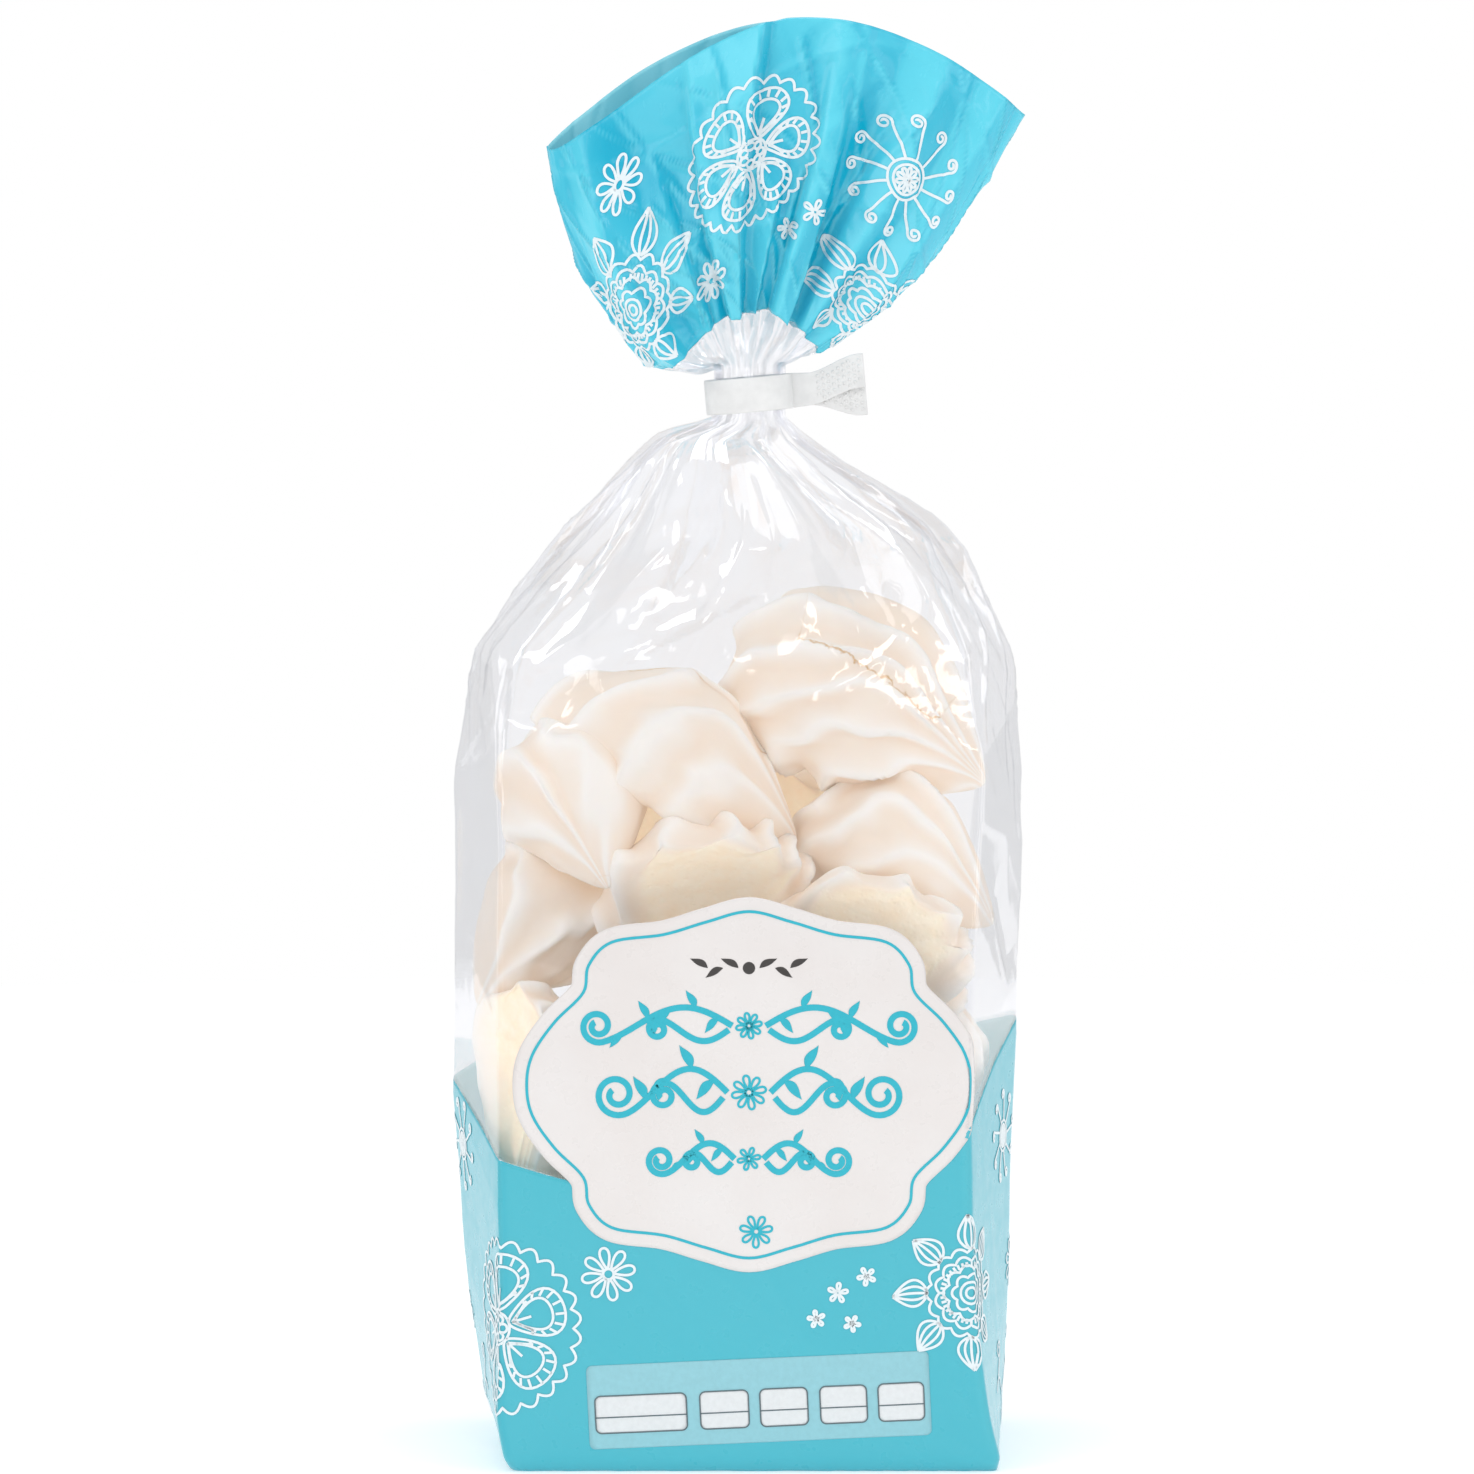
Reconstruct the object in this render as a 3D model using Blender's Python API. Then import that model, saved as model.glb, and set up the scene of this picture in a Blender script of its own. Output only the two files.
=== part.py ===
"""A clear block-bottomed bag of meringue shells, tied at the neck with a clip band.

The bag stands on its flat bottom with its printed front towards -Y. The origin is the
middle of that bottom. Sizes below are in millimetres and angles in degrees.
"""

import math

import bmesh
import bpy
import numpy as np

MM = 0.001

# Filled body, from the bottom to the neck. Each row holds a height, how far the left and right
# sides reach, half the depth, and how far the front's creases lie inside those sides.
BODY = (
    (0.0, -49.0, 55.0, 35.0, 1.0),
    (3.0, -51.0, 56.0, 37.0, 1.5),
    (12.0, -55.0, 56.5, 38.5, 4.0),
    (35.0, -58.5, 57.5, 40.0, 8.5),
    (76.0, -61.5, 59.0, 41.0, 11.0),
    (118.0, -61.0, 60.0, 41.0, 10.5),
    (145.0, -60.0, 60.5, 39.0, 9.5),
    (160.0, -57.5, 59.5, 36.5, 8.0),
    (173.0, -54.0, 55.5, 33.0, 6.0),
    (187.0, -44.5, 47.5, 27.5, 4.0),
    (200.0, -34.0, 37.0, 20.5, 2.0),
    (210.0, -25.5, 23.0, 14.0, 1.0),
    (216.5, -17.0, 13.5, 8.5, 0.5),
    (219.4, -7.0, 10.6, 5.4, 0.2),
)
ROWS_PER_SPAN = 2
FRONT_SHARE = 0.276  # the front panel's share of the way round, the same as the back's
CORNER_SHARE = 0.012  # how far a crease is rounded, as a share of the way round
ROUND_FROM, ROUND_TO = 150.0, 212.0  # the square body turns round between these heights

# Gathered neck, held by the clip
NECK_X = 2.0
NECK_HALF_WIDTH, NECK_HALF_DEPTH = 7.4, 4.9
NECK_FROM, NECK_TO = 220.6, 231.5

# Fan of loose film above the neck
MOUTH_X, MOUTH_HALF_WIDTH, MOUTH_HALF_DEPTH = 9.7, 50.6, 12.5
MOUTH_CORNER_Z, MOUTH_CORNER_TILT, MOUTH_ARCH = 281.4, 3.4, 23.5
FRONT_RIM_DIP = 9.0  # the front layer's edge hangs lower on the left
LEFT_DROOP, RIGHT_DROOP, MIDDLE_DROOP = 33.0, 17.0, 5.0
LEFT_SPREAD = 5.0  # the left edge bows out by this much
FAN_BELLY = 9.0  # the front and back layers stand apart by this much
FAN_ROWS = 18
FAN_WALL = 1.2
FAN_FLOOR = 0.35  # how far up the fan its inside starts

# Folds that run out of the neck
COLUMNS = 84
FOLDS = 12
FOLD_DRIFTS = ((2, 1.1, 0.6), (3, 0.8, 2.0))  # waves that make the folds uneven: count, size, start
FOLD_SHARPNESS = 0.96
BODY_FOLD_DEPTH, NECK_FOLD_DEPTH, FAN_FOLD_DEPTH = 2.4, 1.2, 3.0
BODY_FOLDS_FROM, BODY_FOLDS_DEEP = 158.0, 202.0  # the body's folds start and are deepest here
INWARD_SHARE = 0.35  # folds lie mostly inside the smooth outline
FAN_FOLDS_OPEN = 0.3  # how far up the fan its folds reach their full depth
FAN_FOLDS_FADE = 0.55  # how much shallower they are at the mouth
FAN_EDGE_CALM = 0.8  # how much shallower they are on the fan's side edges

# Clip band: a loop round the neck and two crimped ends that spread up and down
CLIP_Z, CLIP_TILT = 225.4, -5.0
CLIP_HALF_HEIGHT, CLIP_THICKNESS = 3.7, 1.0
LOOP_HALF_WIDTH, LOOP_HALF_DEPTH = 9.4, 6.7
TAIL_FROM, TAIL_WAIST, TAIL_TO = 8.6, 14.0, 24.8
TAIL_WAIST_HALF_HEIGHT = 3.45
TAIL_THICKNESS = 0.9
TAIL_OFFSET = 0.4  # one end lies in front of the other
TAIL_TIP_HIGH, TAIL_TIP_LOW = 6.6, -0.6
TAIL_FLARE = 1.5  # the ends start to spread this far past the waist
WELD_DISTANCE = 0.01

FILM_COLOUR, FILM_ROUGHNESS = (0.93, 0.90, 0.86), 0.25
CLIP_COLOUR, CLIP_ROUGHNESS = (0.93, 0.93, 0.92), 0.4


def clear_scene():
    for obj in list(bpy.data.objects):
        bpy.data.objects.remove(obj)


def make_material(name, colour, roughness):
    material = bpy.data.materials.new(name)
    material.use_nodes = True
    shader = material.node_tree.nodes["Principled BSDF"]
    shader.inputs["Base Color"].default_value = (*colour, 1.0)
    shader.inputs["Roughness"].default_value = roughness
    shader.inputs["Metallic"].default_value = 0.0
    return material


def smooth_step(low, high, value):
    share = np.clip((value - low) / (high - low), 0.0, 1.0)
    return share * share * (3.0 - 2.0 * share)


def through(points, place):
    """The point at place, counted in rows, on a smooth curve through all the rows."""
    points = np.array(points)
    last = len(points) - 1
    first = min(int(place), last - 1)
    t = place - first
    before, start, end, after = (points[min(max(first + k, 0), last)] for k in (-1, 0, 1, 2))
    return 0.5 * (
        2.0 * start
        + (end - before) * t
        + (2.0 * before - 5.0 * start + 4.0 * end - after) * t**2
        + (3.0 * start - before - 3.0 * end + after) * t**3
    )


def round_the_bag(count):
    """Even shares of the way round, from the front's left crease, and the matching angles."""
    share = np.arange(count) / count
    angle = -math.pi / 2 + 2.0 * math.pi * (share - FRONT_SHARE / 2)
    return share, angle


def six_sided(share, left, right, half_depth, inset):
    """Flat front and back with sides that bulge out to their middles, and rounded creases."""
    corners = np.array(
        [
            (left + inset, -half_depth),
            (right - inset, -half_depth),
            (right, 0.0),
            (right - inset, half_depth),
            (left + inset, half_depth),
            (left, 0.0),
            (left + inset, -half_depth),
        ]
    )
    side = 0.5 - FRONT_SHARE
    at = np.array(
        [0.0, FRONT_SHARE, FRONT_SHARE + side / 2, 0.5, 0.5 + FRONT_SHARE, 1.0 - side / 2, 1.0]
    )
    ring = np.zeros((len(share), 2))
    steps = (-1.0, -0.5, 0.0, 0.5, 1.0)
    for step in steps:
        place = (share + step * CORNER_SHARE) % 1.0
        ring += np.stack([np.interp(place, at, corners[:, k]) for k in (0, 1)], axis=1)
    return ring / len(steps)


def body_ring(place, share, angle):
    height, left, right, half_depth, inset = through(BODY, place)
    square = six_sided(share, left, right, half_depth, inset)
    centre, half_width = (left + right) / 2, (right - left) / 2
    oval = np.stack([centre + half_width * np.cos(angle), half_depth * np.sin(angle)], axis=1)
    turned = smooth_step(ROUND_FROM, ROUND_TO, height)
    flat = square * (1.0 - turned) + oval * turned
    return np.column_stack([flat, np.full(len(share), height)])


def neck_ring(height, angle):
    return np.column_stack(
        [
            NECK_X + NECK_HALF_WIDTH * np.cos(angle),
            NECK_HALF_DEPTH * np.sin(angle),
            np.full(len(angle), height),
        ]
    )


def fan_ring(t, angle):
    """A ring of the fan, from the neck at t = 0 to the open mouth at t = 1."""
    across, deep = np.cos(angle), np.sin(angle)
    neck = neck_ring(NECK_TO, angle)
    arch = MOUTH_ARCH * (1.0 - across**2)
    dip = FRONT_RIM_DIP * np.clip(-deep, 0, 1) * np.clip(-across, 0, 1)
    mouth = np.column_stack(
        [
            MOUTH_X + MOUTH_HALF_WIDTH * across,
            MOUTH_HALF_DEPTH * deep,
            MOUTH_CORNER_Z + MOUTH_CORNER_TILT * across + arch - dip,
        ]
    )
    to_left, to_right = np.clip(-across, 0, 1) ** 2, np.clip(across, 0, 1) ** 2
    droop = (
        MIDDLE_DROOP
        + (LEFT_DROOP - MIDDLE_DROOP) * to_left
        + (RIGHT_DROOP - MIDDLE_DROOP) * to_right
    )
    bend = (neck + mouth) / 2
    bend[:, 0] -= LEFT_SPREAD * to_left
    bend[:, 1] += FAN_BELLY * deep
    bend[:, 2] -= droop
    return (1 - t) ** 2 * neck + 2 * t * (1 - t) * bend + t**2 * mouth


def fold_wave(angle):
    """Folds of uneven width, between -1 and 1."""
    uneven = angle * FOLDS
    for count, size, start in FOLD_DRIFTS:
        uneven = uneven + size * np.sin(count * angle + start)
    return 2.0 / math.pi * np.arcsin(FOLD_SHARPNESS * np.sin(uneven))


def smooth_rings(share, angle):
    """The bag's rings without folds, and how deep the folds are on each."""
    rings, depths = [], []
    places = np.linspace(0, len(BODY) - 1, (len(BODY) - 1) * ROWS_PER_SPAN + 1)
    for place in places:
        ring = body_ring(place, share, angle)
        rings.append(ring)
        started = smooth_step(BODY_FOLDS_FROM, BODY_FOLDS_DEEP, ring[0, 2])
        gathered = smooth_step(BODY_FOLDS_DEEP, NECK_FROM, ring[0, 2])
        deepest = BODY_FOLD_DEPTH + (NECK_FOLD_DEPTH - BODY_FOLD_DEPTH) * gathered
        depths.append(started * deepest)
    for height in (NECK_FROM, (NECK_FROM + NECK_TO) / 2):
        rings.append(neck_ring(height, angle))
        depths.append(NECK_FOLD_DEPTH)
    for t in np.linspace(0, 1, FAN_ROWS + 1):
        rings.append(fan_ring(t, angle))
        spread = smooth_step(0.0, FAN_FOLDS_OPEN, t)
        deepest = FAN_FOLD_DEPTH * (1 - FAN_FOLDS_FADE * t)
        depths.append(NECK_FOLD_DEPTH + (deepest - NECK_FOLD_DEPTH) * spread)
    return np.array(rings), np.array(depths)


def outward(rings):
    """Unit directions that point out of the bag at each point of its rings."""
    along = np.roll(rings, -1, axis=1) - np.roll(rings, 1, axis=1)
    up = np.gradient(rings, axis=0)
    out = np.cross(along, up)
    return out / np.linalg.norm(out, axis=2, keepdims=True)


def folded_rings():
    """All rings with their folds, then the fan's inner wall from the mouth down."""
    share, angle = round_the_bag(COLUMNS)
    rings, depths = smooth_rings(share, angle)
    out = outward(rings)
    body_count = len(rings) - FAN_ROWS - 1
    fold = np.outer(depths, fold_wave(angle))
    fold -= depths[:, None] * INWARD_SHARE
    fold[body_count:] *= 1.0 - FAN_EDGE_CALM * np.cos(angle) ** 6
    rings = rings + out * fold[:, :, None]
    inner_from = body_count + round(FAN_FLOOR * FAN_ROWS)
    inner = rings[inner_from:] - out[inner_from:] * FAN_WALL
    return np.concatenate([rings, inner[::-1]])


def loft(name, rings, material):
    """A closed mesh over the rings, with a flat fan of faces at each end."""
    bm = bmesh.new()
    rows = [[bm.verts.new(point * MM) for point in ring] for ring in rings]
    for low, high in zip(rows, rows[1:]):
        for k in range(len(low)):
            after = (k + 1) % len(low)
            bm.faces.new((low[k], low[after], high[after], high[k]))
    for row in (rows[0], rows[-1]):
        centre = bm.verts.new(sum((v.co for v in row[1:]), row[0].co.copy()) / len(row))
        for k in range(len(row)):
            bm.faces.new((row[k], row[(k + 1) % len(row)], centre))
    bmesh.ops.recalc_face_normals(bm, faces=bm.faces)
    bmesh.ops.triangulate(bm, faces=bm.faces)
    mesh = bpy.data.meshes.new(name)
    bm.to_mesh(mesh)
    bm.free()
    mesh.materials.append(material)
    mesh.shade_smooth()
    return bpy.data.objects.new(name, mesh)


def flat_outline(name, loops, half_thickness):
    """A plate whose outline is the first loop and whose holes are the others."""
    curve = bpy.data.curves.new(name, "CURVE")
    curve.dimensions = "2D"
    curve.fill_mode = "BOTH"
    curve.extrude = half_thickness * MM
    for loop in loops:
        spline = curve.splines.new("POLY")
        spline.points.add(len(loop) - 1)
        for point, (x, y) in zip(spline.points, loop):
            point.co = (x * MM, y * MM, 0.0, 1.0)
        spline.use_cyclic_u = True
    return bpy.data.objects.new(name, curve)


def as_mesh(obj, collection):
    """The object's evaluated shape as a plain closed mesh, in place of its curve."""
    collection.objects.link(obj)
    bpy.context.view_layer.update()
    graph = bpy.context.evaluated_depsgraph_get()
    mesh = bpy.data.meshes.new_from_object(obj.evaluated_get(graph))
    bm = bmesh.new()
    bm.from_mesh(mesh)
    bmesh.ops.remove_doubles(bm, verts=bm.verts, dist=WELD_DISTANCE * MM)
    bm.to_mesh(mesh)
    bm.free()
    made = bpy.data.objects.new(obj.name + "_mesh", mesh)
    made.matrix_world = obj.matrix_world
    bpy.data.objects.remove(obj)
    collection.objects.link(made)
    return made


def oval(half_width, half_depth, count=40):
    turns = (2.0 * math.pi * k / count for k in range(count))
    return [(half_width * math.cos(a), half_depth * math.sin(a)) for a in turns]


def tail_outline(side):
    """One crimped end, seen from the front: side 1 spreads up and side -1 spreads down."""
    half, waist = CLIP_HALF_HEIGHT, TAIL_WAIST_HALF_HEIGHT
    middle = (TAIL_WAIST + TAIL_TO) / 2
    return [
        (TAIL_FROM, -half * side),
        (TAIL_WAIST, -waist * side),
        (middle, (TAIL_TIP_LOW - waist) / 2 * side),
        (TAIL_TO, TAIL_TIP_LOW * side),
        (TAIL_TO, TAIL_TIP_HIGH * side),
        (middle, (TAIL_TIP_HIGH + waist) / 2 * side),
        (TAIL_WAIST + TAIL_FLARE, waist * side),
        (TAIL_FROM, half * side),
    ]


def build_clip(parts, cutters, material):
    """The loop and both crimped ends as one body, round the neck."""
    loop = flat_outline(
        "loop",
        [
            oval(LOOP_HALF_WIDTH, LOOP_HALF_DEPTH),
            oval(LOOP_HALF_WIDTH - CLIP_THICKNESS, LOOP_HALF_DEPTH - CLIP_THICKNESS),
        ],
        CLIP_HALF_HEIGHT,
    )
    clip = as_mesh(loop, parts)
    clip.name = "clip"
    for side, name in ((1, "tail_up"), (-1, "tail_down")):
        tail = flat_outline(name, [tail_outline(side)], TAIL_THICKNESS / 2)
        tail.rotation_euler = (math.pi / 2, 0.0, 0.0)
        tail.location = (0.0, -side * TAIL_OFFSET * MM, 0.0)
        cutter = as_mesh(tail, cutters)
        cutter.hide_render = True
        cutter.display_type = "WIRE"
    union = clip.modifiers.new("join_tails", "BOOLEAN")
    union.operation = "UNION"
    union.operand_type = "COLLECTION"
    union.collection = cutters
    bpy.context.view_layer.update()
    graph = bpy.context.evaluated_depsgraph_get()
    joined = bpy.data.meshes.new_from_object(clip.evaluated_get(graph))
    clip.modifiers.clear()
    clip.data = joined
    for obj in list(cutters.objects):
        bpy.data.objects.remove(obj)
    clip.data.materials.clear()
    clip.data.materials.append(material)
    clip.location = (NECK_X * MM, 0.0, CLIP_Z * MM)
    clip.rotation_euler = (0.0, math.radians(CLIP_TILT), 0.0)
    return clip


def main():
    clear_scene()
    parts = bpy.data.collections.new("bag_of_meringues")
    cutters = bpy.data.collections.new("joined_shapes")
    for collection in (parts, cutters):
        bpy.context.scene.collection.children.link(collection)
    film = make_material("film_and_meringue", FILM_COLOUR, FILM_ROUGHNESS)
    plastic = make_material("clip_plastic", CLIP_COLOUR, CLIP_ROUGHNESS)
    bag = loft("bag", folded_rings(), film)
    parts.objects.link(bag)
    build_clip(parts, cutters, plastic)


main()
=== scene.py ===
import math

import bmesh
import bpy
import numpy as np
from mathutils import Matrix, Vector


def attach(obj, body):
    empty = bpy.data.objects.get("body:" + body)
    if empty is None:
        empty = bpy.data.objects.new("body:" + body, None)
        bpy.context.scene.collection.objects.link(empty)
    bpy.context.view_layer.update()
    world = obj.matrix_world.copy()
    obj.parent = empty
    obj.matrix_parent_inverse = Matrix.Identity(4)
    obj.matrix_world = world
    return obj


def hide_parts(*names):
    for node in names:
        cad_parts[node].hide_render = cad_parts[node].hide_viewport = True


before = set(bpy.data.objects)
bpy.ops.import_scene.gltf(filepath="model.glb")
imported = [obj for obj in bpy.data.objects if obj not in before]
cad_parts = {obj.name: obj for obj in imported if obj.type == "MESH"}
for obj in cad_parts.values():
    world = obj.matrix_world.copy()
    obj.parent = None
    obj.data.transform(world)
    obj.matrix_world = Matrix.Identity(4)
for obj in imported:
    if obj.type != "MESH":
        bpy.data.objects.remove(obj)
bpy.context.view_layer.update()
body = "root"
mm = 0.001


# Curves and meshes

def smoothStep(low, high, value):
    share = np.clip((value - low) / (high - low), 0.0, 1.0)
    return share * share * (3.0 - 2.0 * share)


def curveBetween(before, start, end, after, t):
    # a smooth curve from start to end that heeds the points before and after them
    return 0.5 * (
        2.0 * start + (end - before) * t
        + (2.0 * before - 5.0 * start + 4.0 * end - after) * t**2
        + (3.0 * start - before - 3.0 * end + after) * t**3
    )


def addObject(name, data):
    obj = bpy.data.objects.new(name, data)
    bpy.context.scene.collection.objects.link(obj)
    return obj


def meshObject(name, points, faces=(), materials=(), edges=()):
    # the points are in millimetres
    mesh = bpy.data.meshes.new(name)
    mesh.from_pydata((np.asarray(points, float) * mm).tolist(), edges, faces)
    for material in materials:
        mesh.materials.append(material)
    return addObject(name, mesh)


def faceOutwards(mesh, merge=0.0):
    # merges points closer than merge, then turns all faces outwards
    bm = bmesh.new()
    bm.from_mesh(mesh)
    if merge:
        bmesh.ops.remove_doubles(bm, verts=bm.verts, dist=merge)
    bmesh.ops.recalc_face_normals(bm, faces=bm.faces)
    bm.to_mesh(mesh)
    bm.free()


def applyModifiers(obj):
    # the evaluated shape takes the place of the mesh, and no modifier is left
    bpy.context.view_layer.update()
    graph = bpy.context.evaluated_depsgraph_get()
    made = bpy.data.meshes.new_from_object(obj.evaluated_get(graph))
    obj.modifiers.clear()
    obj.data = made
    return obj


def wall(obj, thickness, offset=-1.0, inside=0):
    # a closed wall, which grows inwards unless offset says otherwise; inside is added to the
    # number of its inner side's material
    solidify = obj.modifiers.new("wall", "SOLIDIFY")
    solidify.thickness = thickness * mm
    solidify.offset = offset
    solidify.material_offset = inside
    solidify.material_offset_rim = 0
    return applyModifiers(obj)


def finishPiece(obj, replaced=None, smooth=True):
    if smooth:
        obj.data.shade_smooth()
    else:
        obj.data.shade_flat()
    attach(obj, body)
    if replaced:
        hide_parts(replaced)


# Node trees

def addNode(tree, kind, inputs=None, **settings):
    # an input is given as a socket to link or as a plain value
    node = tree.nodes.new(kind)
    for name, value in settings.items():
        setattr(node, name, value)
    fillInputs(tree, node, inputs or {})
    return node


def fillInputs(tree, node, inputs):
    for name, value in inputs.items():
        if isinstance(value, field):
            value = value.socket
        if isinstance(value, bpy.types.NodeSocket):
            tree.links.new(value, node.inputs[name])
        else:
            node.inputs[name].default_value = value


class field:
    # a socket that can stand in a formula, so that a node tree reads as its rule

    def __init__(self, tree, socket):
        self.tree = tree
        self.socket = socket

    def maths(self, operation, *values):
        node = addNode(self.tree, "ShaderNodeMath", dict(enumerate(values)), operation=operation)
        return field(self.tree, node.outputs[0])

    def __add__(self, other):
        return self.maths("ADD", self, other)

    def __radd__(self, other):
        return self.maths("ADD", other, self)

    def __sub__(self, other):
        return self.maths("SUBTRACT", self, other)

    def __rsub__(self, other):
        return self.maths("SUBTRACT", other, self)

    def __mul__(self, other):
        return self.maths("MULTIPLY", self, other)

    def __rmul__(self, other):
        return self.maths("MULTIPLY", other, self)

    def __truediv__(self, other):
        return self.maths("DIVIDE", self, other)

    def __pow__(self, other):
        return self.maths("POWER", self, other)

    def cos(self):
        return self.maths("COSINE", self)

    def sin(self):
        return self.maths("SINE", self)

    def atLeast(self, other):
        return self.maths("MAXIMUM", self, other)

    def step(self, low, high):
        node = addNode(self.tree, "ShaderNodeMapRange", {
            "Value": self, "From Min": low, "From Max": high,
        }, interpolation_type="SMOOTHSTEP")
        return field(self.tree, node.outputs["Result"])


def newTree(name, inputs):
    # an empty geometry tree, the socket of the geometry that comes in, and its number inputs
    tree = bpy.data.node_groups.new(name, "GeometryNodeTree")
    tree.interface.new_socket("Geometry", in_out="INPUT", socket_type="NodeSocketGeometry")
    for label in inputs:
        tree.interface.new_socket(label, in_out="INPUT", socket_type="NodeSocketFloat")
    tree.interface.new_socket("Geometry", in_out="OUTPUT", socket_type="NodeSocketGeometry")
    outputs = tree.nodes.new("NodeGroupInput").outputs
    return tree, outputs["Geometry"], {label: field(tree, outputs[label]) for label in inputs}


def endTree(tree, geometry, material):
    # every tree ends with real geometry and its material
    realized = addNode(tree, "GeometryNodeRealizeInstances", {0: geometry})
    inputs = {"Geometry": realized.outputs[0], "Material": material}
    coated = addNode(tree, "GeometryNodeSetMaterial", inputs)
    addNode(tree, "NodeGroupOutput", {0: coated.outputs[0]})


def runTree(obj, tree, values):
    # sets the inputs by their identifiers, then keeps only the resulting mesh
    modifier = obj.modifiers.new(tree.name, "NODES")
    modifier.node_group = tree
    for item in tree.interface.items_tree:
        if item.in_out == "INPUT" and item.name in values:
            modifier[item.identifier] = float(values[item.name])
    return applyModifiers(obj)


class paint:
    # a material under construction, with short calls for the nodes used here

    def __init__(self, name):
        self.material = bpy.data.materials.new(name)
        self.material.use_nodes = True
        self.tree = self.material.node_tree
        self.shader = self.tree.nodes["Principled BSDF"]

    def node(self, kind, inputs=None, **settings):
        return addNode(self.tree, kind, inputs, **settings)

    def shade(self, inputs):
        # values and sockets for the main shader
        fillInputs(self.tree, self.shader, inputs)

    def coordinates(self, kind, scale):
        source = self.node("ShaderNodeTexCoord").outputs[kind]
        return self.node("ShaderNodeMapping", {"Vector": source, "Scale": scale}).outputs["Vector"]

    def millimetres(self):
        return self.coordinates("Object", (1.0 / mm, 1.0 / mm, 1.0 / mm))

    def noise(self, vector, scale, detail, roughness=0.55):
        return self.node("ShaderNodeTexNoise", {
            "Vector": vector, "Scale": scale, "Detail": detail, "Roughness": roughness,
        }).outputs["Fac"]

    def attribute(self, name):
        return self.node("ShaderNodeAttribute", attribute_name=name).outputs["Fac"]

    def between(self, value, low, high, toLow=0.0, toHigh=1.0):
        return self.node("ShaderNodeMapRange", {
            "Value": value, "From Min": low, "From Max": high, "To Min": toLow, "To Max": toHigh,
        }).outputs["Result"]

    def mottle(self, vector, scale, detail, low=0.0, high=1.0):
        # uneven values, most of them well inside low and high
        return self.between(self.noise(vector, scale, detail), 0.3, 0.7, low, high)

    def cloud(self, vector, scale, detail, roughness=0.55):
        # like mottle, with more at the low end
        return self.between(self.noise(vector, scale, detail, roughness), 0.35, 0.7)

    def maths(self, operation, *values):
        return self.node("ShaderNodeMath", dict(enumerate(values)), operation=operation).outputs[0]

    def blend(self, share, first, second):
        # first and second are sockets or plain colours
        first, second = ((*c, 1.0) if isinstance(c, tuple) else c for c in (first, second))
        return self.node("ShaderNodeMix", {0: share, 6: first, 7: second}, data_type="RGBA").outputs[2]

    def bump(self, heights, shader=None):
        # heights: a height's socket, its strength and its distance in mm, for each layer
        inputs = {}
        for height, strength, distance in heights:
            node = self.node("ShaderNodeBump", {
                "Height": height, "Strength": strength, "Distance": distance * mm, **inputs,
            })
            inputs = {"Normal": node.outputs["Normal"]}
        fillInputs(self.tree, shader or self.shader, inputs)
        return inputs["Normal"]


def linear(red, green, blue):
    # a colour as seen on screen, turned into the linear numbers that shaders take
    return tuple(
        (c / 255 / 12.92) if c / 255 <= 0.04045 else ((c / 255 + 0.055) / 1.055) ** 2.4
        for c in (red, green, blue)
    )


# Materials

def makeClearFilm():
    look = {"tint": (0.979, 0.98, 0.987), "roughness": 0.06, "gloss": 0.95, "least": 0.008, "most": 0.3}
    film = paint("clear_film")
    along = film.coordinates("UV", (1.0, 0.4, 1.0))
    through = film.node("ShaderNodeBsdfTransparent", {"Color": (*look["tint"], 1.0)})
    gloss = film.node("ShaderNodeBsdfGlossy", {
        "Color": (1.0, 1.0, 1.0, 1.0), "Roughness": look["roughness"],
    })
    normal = film.bump([(film.noise(along, 0.9, 1.0, 0.4), 0.12, 1.6)], gloss)
    mirror = film.node("ShaderNodeFresnel", {"IOR": 1.5, "Normal": normal})
    share = film.maths("MULTIPLY_ADD", mirror.outputs[0], look["gloss"], look["least"])
    held = film.maths("MINIMUM", share, look["most"])
    mix = film.node("ShaderNodeMixShader", {0: held, 1: through.outputs[0], 2: gloss.outputs[0]})
    film.tree.links.new(mix.outputs[0], film.tree.nodes["Material Output"].inputs["Surface"])
    film.tree.nodes.remove(film.shader)
    return film.material


def makePrintedFilm(name, colour, shadeAndGlowColour, roughness, glow):
    # painted shade: the print is painted darker and deeper in colour in its folds and on facets turned from
    # the light, by the attribute "deep" of the sheets
    film = paint(name)
    vector = film.coordinates("UV", (1.0, 1.0, 1.0))
    along = film.coordinates("UV", (1.0, 0.3, 1.0))
    film.shade({
        "Base Color": film.blend(film.attribute("deep"), colour, shadeAndGlowColour),
        "Roughness": film.mottle(vector, 2.5, 2.0, roughness * 0.85, roughness * 1.2),
        "Specular IOR Level": 0.3,
        "Coat Weight": 0.4,
        "Coat Roughness": 0.08,
        # light that comes through the thin film from behind
        "Emission Color": (*shadeAndGlowColour, 1.0),
        "Emission Strength": glow,
    })
    film.bump([(film.noise(along, 0.9, 1.0, 0.4), 0.25, 1.2), (film.noise(vector, 60.0, 2.0), 0.02, 0.1)])
    return film.material


def makeInk(name, colour):
    look = {"roughness": 0.32, "grainShade": 0.93}
    ink = paint(name)
    vector = ink.millimetres()
    darker = tuple(c * look["grainShade"] for c in colour)
    ink.shade({
        "Base Color": ink.blend(ink.mottle(vector, 0.9, 3.0), darker, colour),
        "Roughness": ink.mottle(vector, 0.5, 2.0, look["roughness"], look["roughness"] * 1.4),
    })
    ink.bump([(ink.noise(vector, 2.2, 3.0), 0.12, 0.15)])
    return ink.material


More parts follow.
